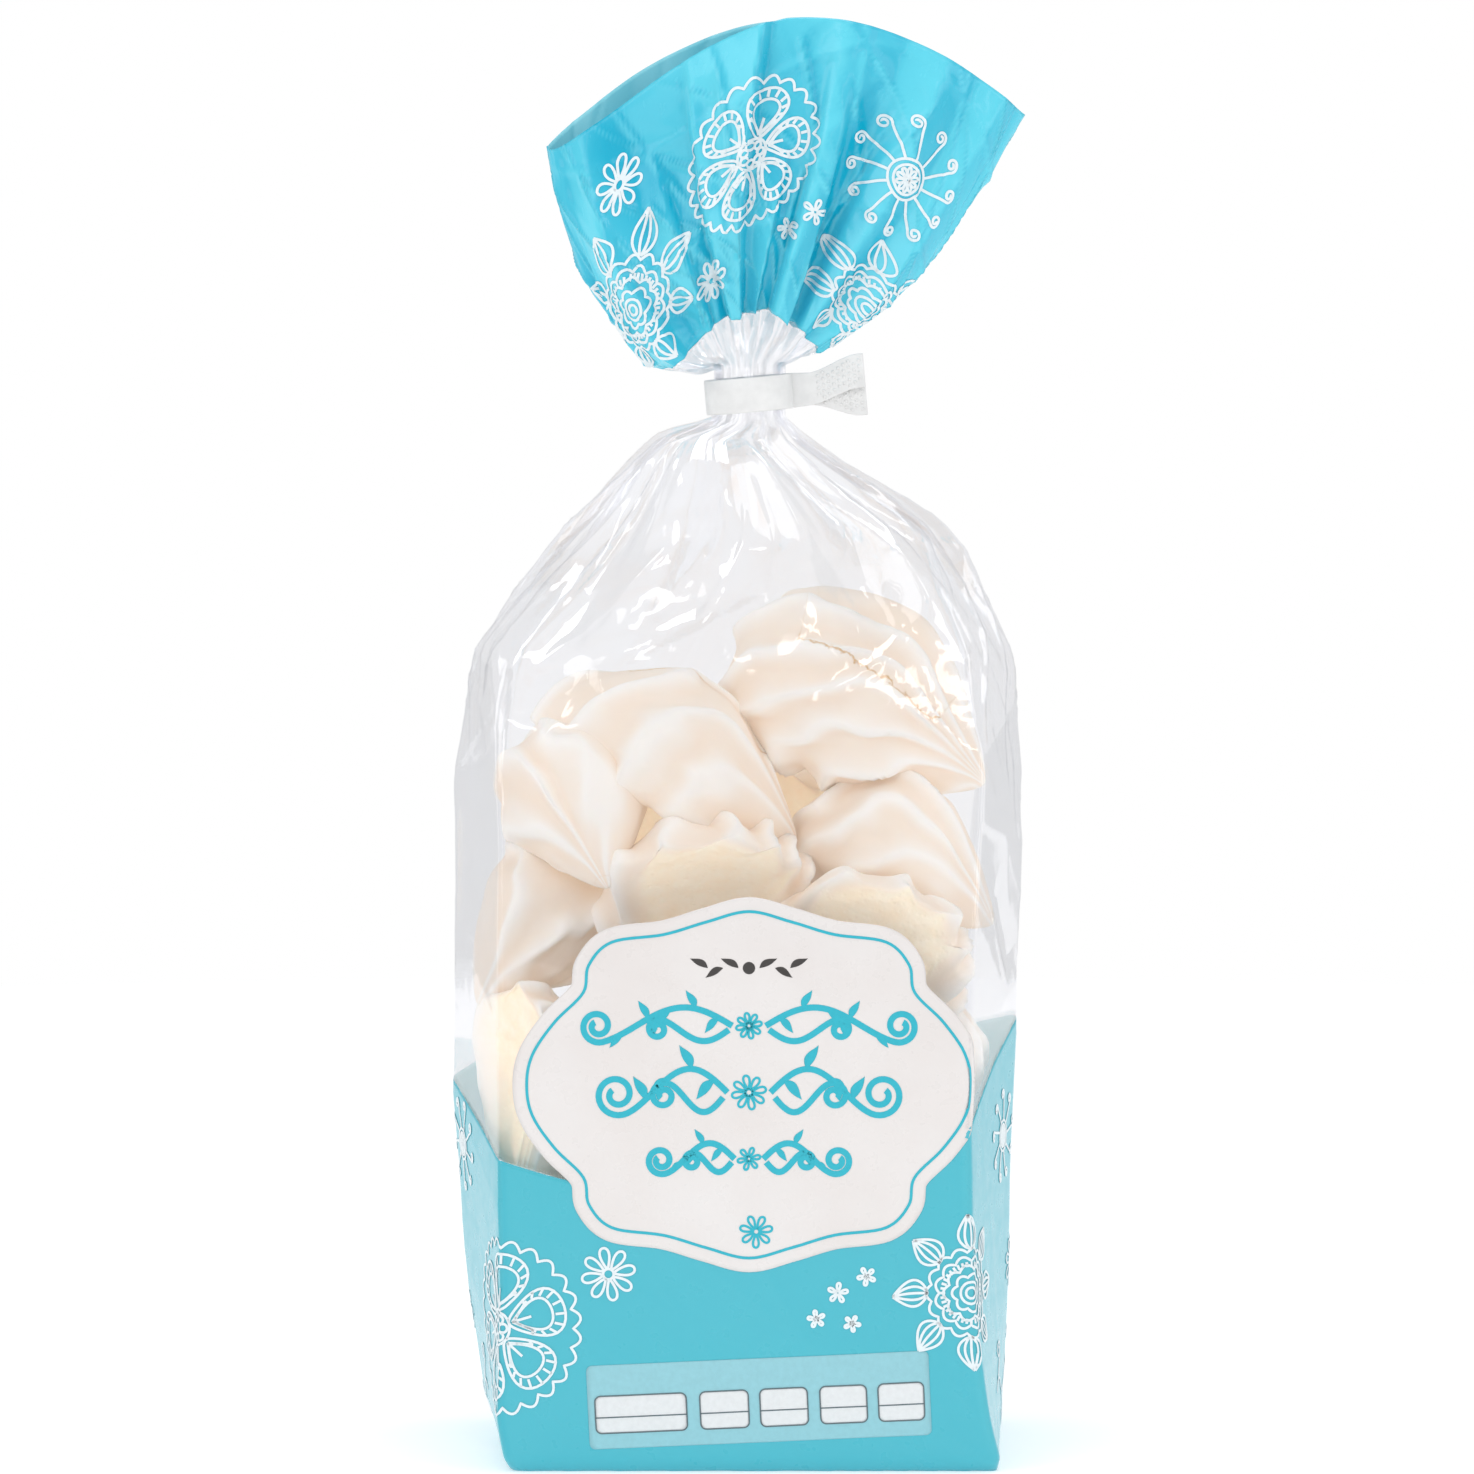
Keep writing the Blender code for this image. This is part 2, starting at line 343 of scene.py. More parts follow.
def makePlaque():
    plaque = paint("plaque_white")
    vector = plaque.millimetres()
    cloud = plaque.cloud(vector, 0.035, 3.0)
    plaque.shade({
        "Base Color": plaque.blend(cloud, linear(219, 213, 210), linear(223, 219, 217)),
        "Roughness": plaque.mottle(vector, 0.3, 3.0, 0.24, 0.36),
        "Coat Weight": 0.3,
        "Coat Roughness": 0.12,
    })
    plaque.bump([(plaque.noise(vector, 0.06, 1.0), 0.3, 0.9), (plaque.noise(vector, 2.0, 2.0), 0.03, 0.1)])
    return plaque.material


def makeMeringue():
    crust = paint("meringue_crust")
    vector = crust.millimetres()
    # painted shade and highlight: the grooves between the ridges are painted darker and the crests lighter
    crest = crust.between(crust.attribute("crest"), 0.0, 0.6)
    underside = crust.attribute("underside")
    cloud = crust.cloud(vector, 0.05, 4.0)
    shadedGrooves = crust.blend(cloud, linear(246, 228, 209), linear(249, 236, 221))
    top = crust.blend(crest, shadedGrooves, linear(251, 246, 239))
    toasted = crust.cloud(vector, 0.16, 5.0, 0.65)
    below = crust.blend(toasted, linear(254, 234, 204), linear(255, 245, 225))
    shown = crust.blend(underside, top, below)
    # the crack is painted brown: partly the toasted foam inside it, partly painted shade in its opening;
    # the bump sinks it too
    zigzag = crust.between(crust.noise(vector, 0.42, 3.0, 0.7), 0.0, 1.0, -1.9, 1.9)
    away = crust.maths("ABSOLUTE", crust.maths("ADD", crust.attribute("crack"), zigzag))
    crack = crust.between(away, 0.06, 0.34, 1.0, 0.0)
    crust.shade({
        "Base Color": crust.blend(crack, shown, linear(226, 186, 132)),
        "Roughness": crust.mottle(vector, 0.8, 3.0, 0.62, 0.82),
        "Specular IOR Level": 0.35,
        "Subsurface Weight": 0.12,
        "Subsurface Radius": (1.0, 0.7, 0.45),
        "Subsurface Scale": 2.2 * mm,
        # stands for the light that the thick foam lets through into its shaded side
        "Emission Color": crust.blend(underside, (0.16, 0.14, 0.12), (1.0, 0.85, 0.68)),
        "Emission Strength": 0.2,
    })
    cells = crust.node("ShaderNodeTexVoronoi", {"Vector": vector, "Scale": 0.75}, feature="F1")
    pores = crust.between(cells.outputs["Distance"], 0.0, 0.45, 0.6, 1.0)
    sunk = crust.maths("SUBTRACT", crust.maths("MULTIPLY", pores, underside), crack)
    waves, grain = crust.noise(vector, 0.22, 2.0), crust.noise(vector, 2.4, 3.0, 0.6)
    crust.bump([(waves, 0.2, 0.8), (grain, 0.1, 0.2), (sunk, 0.5, 0.5)])
    return crust.material


def makeClipPlastic():
    plastic = paint("clip_white")
    vector = plastic.millimetres()
    cloud = plastic.cloud(vector, 0.25, 3.0)
    plastic.shade({
        "Base Color": plastic.blend(cloud, linear(220, 220, 219), linear(230, 230, 229)),
        "Roughness": plastic.mottle(vector, 0.9, 3.0, 0.28, 0.4),
    })
    plastic.bump([(plastic.noise(vector, 1.2, 2.0), 0.08, 0.12)])
    return plastic.material


print("materials")
clearFilm = makeClearFilm()
# the second colour of each print is its painted fold shade, which the fan and the inside also glow with
lowerPrint = makePrintedFilm("print_turquoise", linear(74, 180, 195), linear(54, 172, 190), 0.3, 0.0)
fanPrint = makePrintedFilm("fan_turquoise", linear(92, 200, 218), linear(0, 160, 190), 0.24, 0.13)
insidePrint = makePrintedFilm("print_inside", linear(140, 208, 221), linear(108, 194, 210), 0.4, 0.1)
whiteInk = makeInk("ink_white", linear(226, 235, 238))
turquoiseInk = makeInk("ink_turquoise", linear(36, 176, 194))
darkInk = makeInk("ink_dark", linear(88, 104, 110))
charcoalInk = makeInk("ink_charcoal", linear(58, 54, 52))
panelInk = makeInk("ink_pale_blue", linear(142, 197, 207))
boxInk = makeInk("ink_box_white", linear(222, 224, 225))
plaqueWhite = makePlaque()
meringueCrust = makeMeringue()
clipPlastic = makeClipPlastic()


# The film's smooth shape, in millimetres. u is the share of the way round from the front's left
# crease. v is the height on the body, and runs on up the neck and the fan.

film = {
    # height, left side, right side, half the depth, how far the creases lie inside the sides
    "rows": (
        (0, -49, 55, 35, 1),
        (3, -51, 56, 37, 1.5),
        (12, -55, 56.5, 38.5, 4),
        (35, -58.5, 57.5, 40, 8.5),
        (76, -61.5, 59, 41, 11),
        (118, -61, 60, 41, 10.5),
        (145, -60, 60.5, 39, 9.5),
        (171, -56, 56.5, 34, 6.5),
        (187, -44, 48.5, 27.5, 4),
        (197, -35.5, 42, 22, 2.5),
        (211.5, -22.5, 21, 13.5, 1),
        (216.5, -17, 13.5, 8.5, 0.5),
        (219.4, -7, 10.6, 5.4, 0.2),
    ),
    "rounding": 0.3,
    "frontShare": 0.276,
    "creaseShare": 0.005,
    # where the section turns from six sides to an oval
    "ovalFrom": 150.0,
    "ovalTo": 212.0,
    "bottomReach": 36.0,
    "neckX": 2.0,
    "neckHalfWidth": 7.4,
    "neckHalfDepth": 4.9,
    "neckFrom": 220.6,
    "neckTo": 231.5,
    "mouthX": 9.7,
    "mouthHalfWidth": 50.6,
    "mouthHalfDepth": 12.5,
    "mouthCornerZ": 281.4,
    "mouthTilt": 3.4,
    "mouthArch": 23.5,
    "frontDip": 9.0,
    # how far the fan hangs at its left corner, its middle and its right corner
    "droop": (33.0, 5.0, 17.0),
    "leftSpread": 5.0,
    "belly": 9.0,
    "fanLength": 73.0,
    "roundLength": 370.0,
    "thickness": 0.14,
    # the grid of each sheet, and how far the clear sheet's rows crowd towards the neck
    "columns": 360,
    "lowerRows": 118,
    "clearRows": 130,
    "fanRows": 84,
    "clearCrowd": 1.12,
    # the print's upper edge as a share of the fan: its middle, its rise to the left, its fall to the
    # right and its waves
    "upperEdge": (0.175, 0.085, 0.035, 0.012),
}


def curveThroughRows():
    # the rows' values on a smooth curve through all rows, closely spaced in height
    rows = np.array(film["rows"])
    last, stepsPerRow = len(rows) - 1, 30
    table = []
    for place in np.linspace(0, last, last * stepsPerRow + 1):
        first = min(int(place), last - 1)
        t = place - first
        before, start, end, after = (rows[min(max(first + k, 0), last)] for k in (-1, 0, 1, 2))
        # mostly straight from row to row, as film hangs from its creases
        straight = start + (end - start) * t
        table.append(straight + (curveBetween(before, start, end, after, t) - straight) * film["rounding"])
    return np.array(table)


bodyTable = curveThroughRows()
bodyTop = film["rows"][-1][0]


def sidesAt(z):
    # left side, right side, half the depth and the creases' inset at the height z
    return [np.interp(z, bodyTable[:, 0], bodyTable[:, k]) for k in (1, 2, 3, 4)]


def turnAngle(u):
    return -math.pi / 2 + 2.0 * math.pi * (u - film["frontShare"] / 2)


def awayFrom(u, middle):
    # the share of the way round from middle to u, from -0.5 to 0.5
    return (u - middle + 0.5) % 1.0 - 0.5


def alongFan(v):
    return np.clip((v - film["neckTo"]) / film["fanLength"], 0.0, 1.0)


def sixSided(u, left, right, halfDepth, inset):
    front = film["frontShare"]
    side = 0.5 - front
    at = np.array([0.0, front, front + side / 2, 0.5, 0.5 + front, 1.0 - side / 2, 1.0])
    flat = np.zeros_like(left)
    xs = np.stack([left + inset, right - inset, right, right - inset, left + inset, left, left + inset])
    ys = np.stack([-halfDepth, -halfDepth, flat, halfDepth, halfDepth, flat, -halfDepth])
    x, y = np.zeros_like(left), np.zeros_like(left)
    # the mean of five places close together rounds the creases
    taps = (-1.0, -0.5, 0.0, 0.5, 1.0)
    for tap in taps:
        place = (u + tap * film["creaseShare"]) % 1.0
        k = np.clip(np.searchsorted(at, place, side="right") - 1, 0, 5)
        share = (place - at[k]) / (at[k + 1] - at[k])
        for total, values in ((x, xs), (y, ys)):
            low = np.take_along_axis(values, k[None], 0)[0]
            high = np.take_along_axis(values, k[None] + 1, 0)[0]
            total += low + (high - low) * share
    return x / len(taps), y / len(taps)


def bodyPoint(u, z):
    left, right, halfDepth, inset = sidesAt(z)
    x, y = sixSided(u, left, right, halfDepth, inset)
    angle = turnAngle(u)
    oval = smoothStep(film["ovalFrom"], film["ovalTo"], z)
    x += (((left + right) / 2 + (right - left) / 2 * np.cos(angle)) - x) * oval
    y += (halfDepth * np.sin(angle) - y) * oval
    return np.stack([x, y, z], axis=-1)


def neckPoint(angle, z):
    x = film["neckX"] + film["neckHalfWidth"] * np.cos(angle)
    return np.stack([x, film["neckHalfDepth"] * np.sin(angle), z], axis=-1)


def fanPoint(angle, t):
    across, deep = np.cos(angle), np.sin(angle)
    neck = neckPoint(angle, np.full_like(angle, film["neckTo"]))
    arch = film["mouthArch"] * (1.0 - across**2)
    dip = film["frontDip"] * np.clip(-deep, 0, 1) * np.clip(-across, 0, 1)
    mouth = np.stack([
        film["mouthX"] + film["mouthHalfWidth"] * across,
        film["mouthHalfDepth"] * deep,
        film["mouthCornerZ"] + film["mouthTilt"] * across + arch - dip,
    ], axis=-1)
    toLeft, toRight = np.clip(-across, 0, 1) ** 2, np.clip(across, 0, 1) ** 2
    leftDroop, middleDroop, rightDroop = film["droop"]
    bend = (neck + mouth) / 2
    bend[..., 0] -= film["leftSpread"] * toLeft
    bend[..., 1] += film["belly"] * deep
    bend[..., 2] -= middleDroop + (leftDroop - middleDroop) * toLeft + (rightDroop - middleDroop) * toRight
    t = t[..., None]
    return (1 - t) ** 2 * neck + 2 * t * (1 - t) * bend + t**2 * mouth


def smoothFilm(u, v):
    # the film without folds: bottom, body, neck and fan, each where v lies in it
    u, v = np.broadcast_arrays(np.asarray(u, float), np.asarray(v, float))
    angle = turnAngle(u)
    points = bodyPoint(u, np.clip(v, 0.0, bodyTop))
    below = v < 0
    if below.any():
        middle = np.array([(film["rows"][0][1] + film["rows"][0][2]) / 2, 0.0, 0.0])
        shrink = np.clip(1.0 + v / film["bottomReach"], 0.0, 1.0)[..., None]
        points = np.where(below[..., None], middle + (points - middle) * shrink, points)
    neck = neckPoint(angle, np.clip(v, film["neckFrom"], film["neckTo"]))
    joined = np.clip((v - bodyTop) / (film["neckFrom"] - bodyTop), 0.0, 1.0)[..., None]
    points = points + (neck - points) * joined
    return np.where((v > film["neckTo"])[..., None], fanPoint(angle, alongFan(v)), points)


def unitCross(along, up):
    out = np.cross(along, up)
    return out / np.maximum(np.linalg.norm(out, axis=-1, keepdims=True), 1e-12)


def outward(u, v):
    stepU, stepV = 0.0012, 0.35
    top = film["neckTo"] + film["fanLength"]
    along = smoothFilm(u + stepU, v) - smoothFilm(u - stepU, v)
    return unitCross(along, smoothFilm(u, np.minimum(v + stepV, top)) - smoothFilm(u, v - stepV))


# Folds and crumples of the film

folds = {
    "round": 12,
    "drifts": ((2, 1.1, 0.6), (3, 0.8, 2.0)),
    # how deep the rounded folds are on the body, at the neck and in the fan
    "depths": (2.4, 1.2, 3.0),
    # heights between which each kind sets in
    "start": (158.0, 202.0),
    "pleats": (140.0, 200.0),
    "tight": (205.0, 221.0),
    "loose": (112.0, 172.0),
    "fine": (168.0, 196.0),
    # crumples: how many go round the film, their height, their seed, their crease, how far they rise
    "pleatCrumple": (38, 46.0, 3, 0.0, 1.2),
    "broadCrumple": (13, 27.0, 7, 0.16, 1.9),
    "fineCrumple": (31, 12.0, 11, 0.22, 0.5),
    # the pressed upright edges: half their width, how far they rise, and where they fade out
    "edgeHalfWidth": 0.75,
    "edgeRise": 0.55,
    "edgesEnd": (150.0, 172.0),
}


def hashShare(i, j, seed):
    value = np.sin(i * 127.1 + j * 311.7 + seed * 74.7) * 43758.5453
    return value - np.floor(value)


def crumple(u, v, count, height, seed, crease, rise):
    # flat facets with sharp creases between them: count facets go round the film
    warpU = 0.2 * np.sin(2 * math.pi * (2 * u + v / height * 0.23 + seed * 0.37))
    warpV = 0.2 * np.sin(2 * math.pi * (3 * u + seed * 0.61) + v / height)
    y = v / height + warpV
    x = u * count + warpU + 0.5 * y
    i, j = np.floor(x), np.floor(y)
    a, b = x - i, y - j

    def corner(di, dj):
        # the lattice leans by half a cell a row, so a turn round it is the same count of cells
        return hashShare((i + di) % count, j + dj, seed) * 2.0 - 1.0

    low = corner(0, 0) + a * (corner(1, 0) - corner(0, 0)) + b * (corner(0, 1) - corner(0, 0))
    high = corner(1, 1) + (1 - a) * (corner(0, 1) - corner(1, 1)) + (1 - b) * (corner(1, 0) - corner(1, 1))
    facets = np.where(a + b < 1.0, low, high)
    fromEdge = np.minimum(np.abs(1.0 - a - b), np.minimum(np.minimum(a, 1 - a), np.minimum(b, 1 - b)))
    return (facets + crease * np.exp(-((fromEdge * height / 0.9) ** 2))) * rise


def foldWave(u):
    angle = turnAngle(u)
    uneven = angle * folds["round"]
    for count, size, start in folds["drifts"]:
        uneven = uneven + size * np.sin(count * angle + start)
    return 2.0 / math.pi * np.arcsin(0.96 * np.sin(uneven))


# creases that run straight across the loose film: from (u, v) to (u, v), and how high each stands
filmCreases = (
    (0.055, 171, 0.115, 182, 0.55), (0.105, 176, 0.138, 206, 0.5), (0.175, 160, 0.268, 184, 0.6),
    (0.268, 184, 0.225, 207, 0.5), (0.235, 186, 0.262, 150, 0.45), (0.012, 168, 0.07, 196, 0.5),
    (0.02, 150, 0.05, 172, 0.4), (0.15, 178, 0.16, 210, 0.4), (0.075, 200, 0.12, 188, 0.35),
    (0.285, 150, 0.33, 182, 0.5), (0.38, 190, 0.34, 140, 0.45), (0.40, 128, 0.44, 176, 0.5),
    (0.53, 165, 0.60, 186, 0.5), (0.62, 182, 0.72, 162, 0.55), (0.66, 204, 0.70, 178, 0.4),
    (0.80, 150, 0.86, 186, 0.5), (0.88, 182, 0.93, 138, 0.45), (0.95, 160, 0.985, 190, 0.5),
    (0.90, 112, 0.96, 136, 0.35), (0.31, 120, 0.36, 100, 0.35),
    (0.113, 246, 0.090, 302, 1), (0.205, 248, 0.236, 294, 1), (0.198, 292, 0.232, 277, 0.7),
    (0.232, 277, 0.262, 297, 0.7), (0.232, 277, 0.212, 260, 0.7), (0.052, 268, 0.088, 254, 0.9),
    (0.052, 268, 0.018, 286, 0.8), (0.052, 268, 0.030, 248, 0.8), (0.148, 302, 0.176, 282, 0.8),
    (0.176, 282, 0.164, 258, 0.7), (0.55, 250, 0.60, 296, 1), (0.60, 275, 0.66, 258, 0.8),
    (0.70, 296, 0.68, 250, 1), (0.78, 280, 0.72, 262, 0.7), (0.64, 300, 0.67, 280, 0.7),
)


def pressedCreases(u, v):
    total = np.zeros(np.broadcast(u, v).shape)
    for startU, startV, endU, endV, high in filmCreases:
        x = awayFrom(u, (startU + endU) / 2) * film["roundLength"]
        y = v - (startV + endV) / 2
        alongX, alongV = (endU - startU) * film["roundLength"], endV - startV
        length = math.hypot(alongX, alongV)
        along = (x * alongX + y * alongV) / length
        off = (x * alongV - y * alongX) / length
        ends = 1.0 - smoothStep(0.35, 0.5, np.abs(along) / length)
        # a sharp line on the slope of a low, wide fold
        line, fold = np.exp(-((off / 0.8) ** 2)), np.exp(-(((off + 4.0) / 4.5) ** 2))
        total = total + high * ends * (line - 0.9 * fold)
    return total


# pleats of the fan: the middle of each (in u), its width, its depth and the height it dies out at
fanPleatList = (
    (0.100, 0.050, 4.4, 1.5), (0.152, 0.036, -3.4, 1), (0.190, 0.034, 4, 0.9), (0.060, 0.048, -3.6, 1.2),
    (0.020, 0.040, 3, 0.9), (0.136, 0.020, 2.4, 0.7), (0.232, 0.040, -2.6, 0.8), (0.33, 0.06, 2, 0.9),
    (0.44, 0.06, -2.2, 1.1), (0.55, 0.05, 3.8, 1.2), (0.61, 0.045, -3.2, 0.9), (0.665, 0.05, 3.8, 1.1),
    (0.73, 0.045, -3, 0.9), (0.80, 0.05, 2.4, 1), (0.90, 0.06, -2, 0.9), (0.965, 0.04, 2.6, 0.9),
)


def fanPleats(u, t):
    # each pleat rises gently on one side and falls off sharply on the other
    total = np.zeros(np.broadcast(u, t).shape)
    for middle, width, depth, reach in fanPleatList:
        x = awayFrom(u, middle + 0.012 * np.sin(t * 3.0 + middle * 40.0)) / width
        ramp = np.clip((x + 1.0) / 1.35, 0.0, 1.0) * (1.0 - smoothStep(0.32, 0.46, x))
        fade = smoothStep(0.02, 0.16, t) * (1.0 - smoothStep(reach * 0.55, reach, t))
        total = total + depth * ramp**1.4 * fade
    return total


def foldHeight(u, v):
    bodyDepth, neckDepth, fanDepth = folds["depths"]
    t = alongFan(v)
    started = smoothStep(*folds["start"], v)
    gathered = smoothStep(folds["start"][1], film["neckFrom"], v)
    bodyFold = started * (bodyDepth + (neckDepth - bodyDepth) * gathered)
    fanFold = neckDepth + (fanDepth * (1 - 0.55 * t) - neckDepth) * smoothStep(0.0, 0.3, t)
    fanFold = fanFold * (1.0 - 0.8 * np.cos(turnAngle(u)) ** 6)
    height = np.where(v > film["neckTo"], fanFold, bodyFold) * (foldWave(u) - 0.35)
    # narrow pleats that run out of the neck, deepest close to it
    nearNeck = smoothStep(*folds["pleats"], v) * (1.0 - 0.75 * smoothStep(0.05, 0.8, t))
    tight = 1.0 - 0.72 * smoothStep(*folds["tight"], v) * (1.0 - smoothStep(0.0, 0.18, t))
    height = height + crumple(u, v, *folds["pleatCrumple"]) * nearNeck * tight
    # crumpled facets on the loose film, nearly none where the contents press on it
    loose = 0.16 + 0.84 * smoothStep(*folds["loose"], v)
    calm = 1.0 - 0.35 * smoothStep(0.25, 1.0, t)
    broad = crumple(u, v, *folds["broadCrumple"]) * loose * tight * calm
    fine = crumple(u, v, *folds["fineCrumple"]) * loose * tight * calm
    height = height + broad * (1.0 + smoothStep(0.15, 0.4, t))
    height = height + fine * (0.3 + 0.7 * smoothStep(*folds["fine"], v))
    height = height + pressedCreases(u, v) + fanPleats(u, t)
    edge = np.zeros_like(height)
    for at in (0.0, film["frontShare"], 0.5, 0.5 + film["frontShare"]):
        away = awayFrom(u, at) * film["roundLength"]
        edge = edge + np.exp(-((away / folds["edgeHalfWidth"]) ** 2))
    pressed = (1.0 - smoothStep(*folds["edgesEnd"], v)) * smoothStep(0.0, 12.0, v)
    height = height + edge * pressed * folds["edgeRise"]
    # the rim of the mouth stays even, and the flat bottom is smooth
    return height * smoothStep(-3.0, 4.0, v) * (1.0 - 0.4 * smoothStep(0.9, 1.0, t))


def filmPoint(u, v):
    return smoothFilm(u, v) + outward(u, v) * foldHeight(u, v)[..., None]


# Where the print ends: low on the body and just above the clip

lowerEdgeAt = (0.0, 0.035, 0.10, 0.138, 0.18, 0.24, 0.276, 0.33, 0.388, 0.5, 0.64, 0.776, 0.888, 0.96, 1.0)
lowerEdgeHeight = (66.5, 62.6, 58.0, 56.0, 58.0, 68.0, 73.0, 84.0, 93.0, 86.0, 80.0, 83.0, 79.5, 71.5, 66.5)


def lowerEdge(u):
    taps = (-0.012, -0.006, 0.0, 0.006, 0.012)
    return sum(np.interp((u + tap) % 1.0, lowerEdgeAt, lowerEdgeHeight) for tap in taps) / len(taps)


def upperEdge(u):
    across = np.cos(turnAngle(u))
    middle, toLeft, toRight, waves = film["upperEdge"]
    t = middle + toLeft * np.clip(-across, 0, 1) ** 2 - toRight * np.clip(across, 0, 1) ** 2
    return film["neckTo"] + film["fanLength"] * (t + waves * foldWave(u))


class filmSheet:
    # one stretch of the film between two edges, as a grid that ornaments can be laid on

    def __init__(self, rows, low, high, crowd=1.0):
        self.columns = film["columns"]
        self.u = np.arange(self.columns) / self.columns
        self.low, self.high, self.crowd = low, high, crowd
        self.w = np.linspace(0.0, 1.0, rows)
        lowV, highV = low(self.u), high(self.u)
        self.v = lowV + (highV - lowV) * (1.0 - (1.0 - self.w[:, None]) ** crowd)
        self.points = filmPoint(np.broadcast_to(self.u, self.v.shape), self.v)

    def place(self, u, v, offset):
        # points on the sheet's own facets, raised by offset, and the outward directions there
        share = np.clip((v - self.low(u % 1.0)) / (self.high(u % 1.0) - self.low(u % 1.0)), 0.0, 1.0)
        row = (1.0 - (1.0 - share) ** (1.0 / self.crowd)) * (len(self.w) - 1)
        column = (u % 1.0) * self.columns
        i = np.clip(np.floor(row).astype(int), 0, len(self.w) - 2)
        j = np.floor(column).astype(int) % self.columns
        a, b = (row - i)[..., None], (column - np.floor(column))[..., None]
        after = (j + 1) % self.columns
        p00, p01 = self.points[i, j], self.points[i, after]
        p10, p11 = self.points[i + 1, j], self.points[i + 1, after]
        spot = (1 - a) * ((1 - b) * p00 + b * p01) + a * ((1 - b) * p10 + b * p11)
        out = unitCross((1 - a) * (p01 - p00) + a * (p11 - p10), (1 - b) * (p10 - p00) + b * (p11 - p01))
        return spot + out * offset, out


def sheetMesh(name, sheet, materials, closeBottom=False):
    rows, columns = sheet.v.shape
    points = sheet.points.reshape(-1, 3)
    faces, uvs = [], []

    def spotInPrint(row, column):
        # in centimetres round the film and up it
        return column / columns * film["roundLength"] / 10, sheet.v[row, column % columns] / 10

    for i in range(rows - 1):
        low, high = i * columns, (i + 1) * columns
        for j in range(columns):
            after = (j + 1) % columns
            faces.append((low + j, low + after, high + after, high + j))
            uvs += [spotInPrint(i, j), spotInPrint(i, j + 1)]
            uvs += [spotInPrint(i + 1, j + 1), spotInPrint(i + 1, j)]
    # painted shade: the print is painted darkest low in a fold and on the facets that turn to the right,
    # away from the key light on the left
    u, v, step = np.broadcast_to(sheet.u, sheet.v.shape), sheet.v, 0.002
    rise = (foldHeight(u + step, v) - foldHeight(u - step, v)) / (2 * step * film["roundLength"])
    low, turnedFromLight = smoothStep(-1.2, 2.4, -foldHeight(u, v)), smoothStep(-0.16, 0.24, -rise)
    deep = (0.35 * low + 0.65 * turnedFromLight).reshape(-1)
    if closeBottom:
        points = np.concatenate([points, sheet.points[0].mean(axis=0)[None]])
        deep = np.append(deep, 0.0)
        for j in range(columns):
            faces.append((len(points) - 1, (j + 1) % columns, j))
            uvs += [spotInPrint(0, j), spotInPrint(0, j + 1), spotInPrint(0, j)]
    obj = meshObject(name, points, faces, materials)
    layer = obj.data.uv_layers.new(name="film")
    layer.data.foreach_set("uv", np.array(uvs, np.float32).reshape(-1))
    attribute = obj.data.attributes.new("deep", "FLOAT", "POINT")
    attribute.data.foreach_set("value", deep.astype(np.float32))
    return obj


print("film")
bottomEdge = -film["bottomReach"] * 0.98
mouthEdge = film["neckTo"] + film["fanLength"]
lowerSheet = filmSheet(film["lowerRows"], lambda u: np.full_like(u, bottomEdge), lowerEdge)
clearSheet = filmSheet(film["clearRows"], lowerEdge, upperEdge, film["clearCrowd"])
fanSheet = filmSheet(film["fanRows"], upperEdge, lambda u: np.full_like(u, mouthEdge))

lowerFilm = sheetMesh("film_printed_bottom", lowerSheet, (lowerPrint, insidePrint), True)
finishPiece(wall(lowerFilm, film["thickness"], inside=1), "bag")
clearBody = sheetMesh("film_clear", clearSheet, (clearFilm,))
finishPiece(wall(clearBody, film["thickness"]))
fanFilm = sheetMesh("film_printed_fan", fanSheet, (fanPrint, insidePrint))
finishPiece(wall(fanFilm, film["thickness"], inside=1))


def onFilm(u, v, offset):
    low, lowOut = lowerSheet.place(u, v, offset)
    middle, middleOut = clearSheet.place(u, v, offset)
    high, highOut = fanSheet.place(u, v, offset)
    inLow = (v < lowerEdge(u % 1.0))[..., None]
    inFan = (v > upperEdge(u % 1.0))[..., None]
    spots = np.where(inLow, low, np.where(inFan, high, middle))
    return spots, np.where(inLow, lowOut, np.where(inFan, highOut, middleOut))


def fromFront(points):
    # from millimetres on the front, (x, z), to film coordinates, running on past the creases
    x, z = points.T
    left, right, _, inset = sidesAt(z)
    return np.stack([film["frontShare"] * (x - left - inset) / (right - left - 2 * inset), z], axis=-1)


# Meringue shells

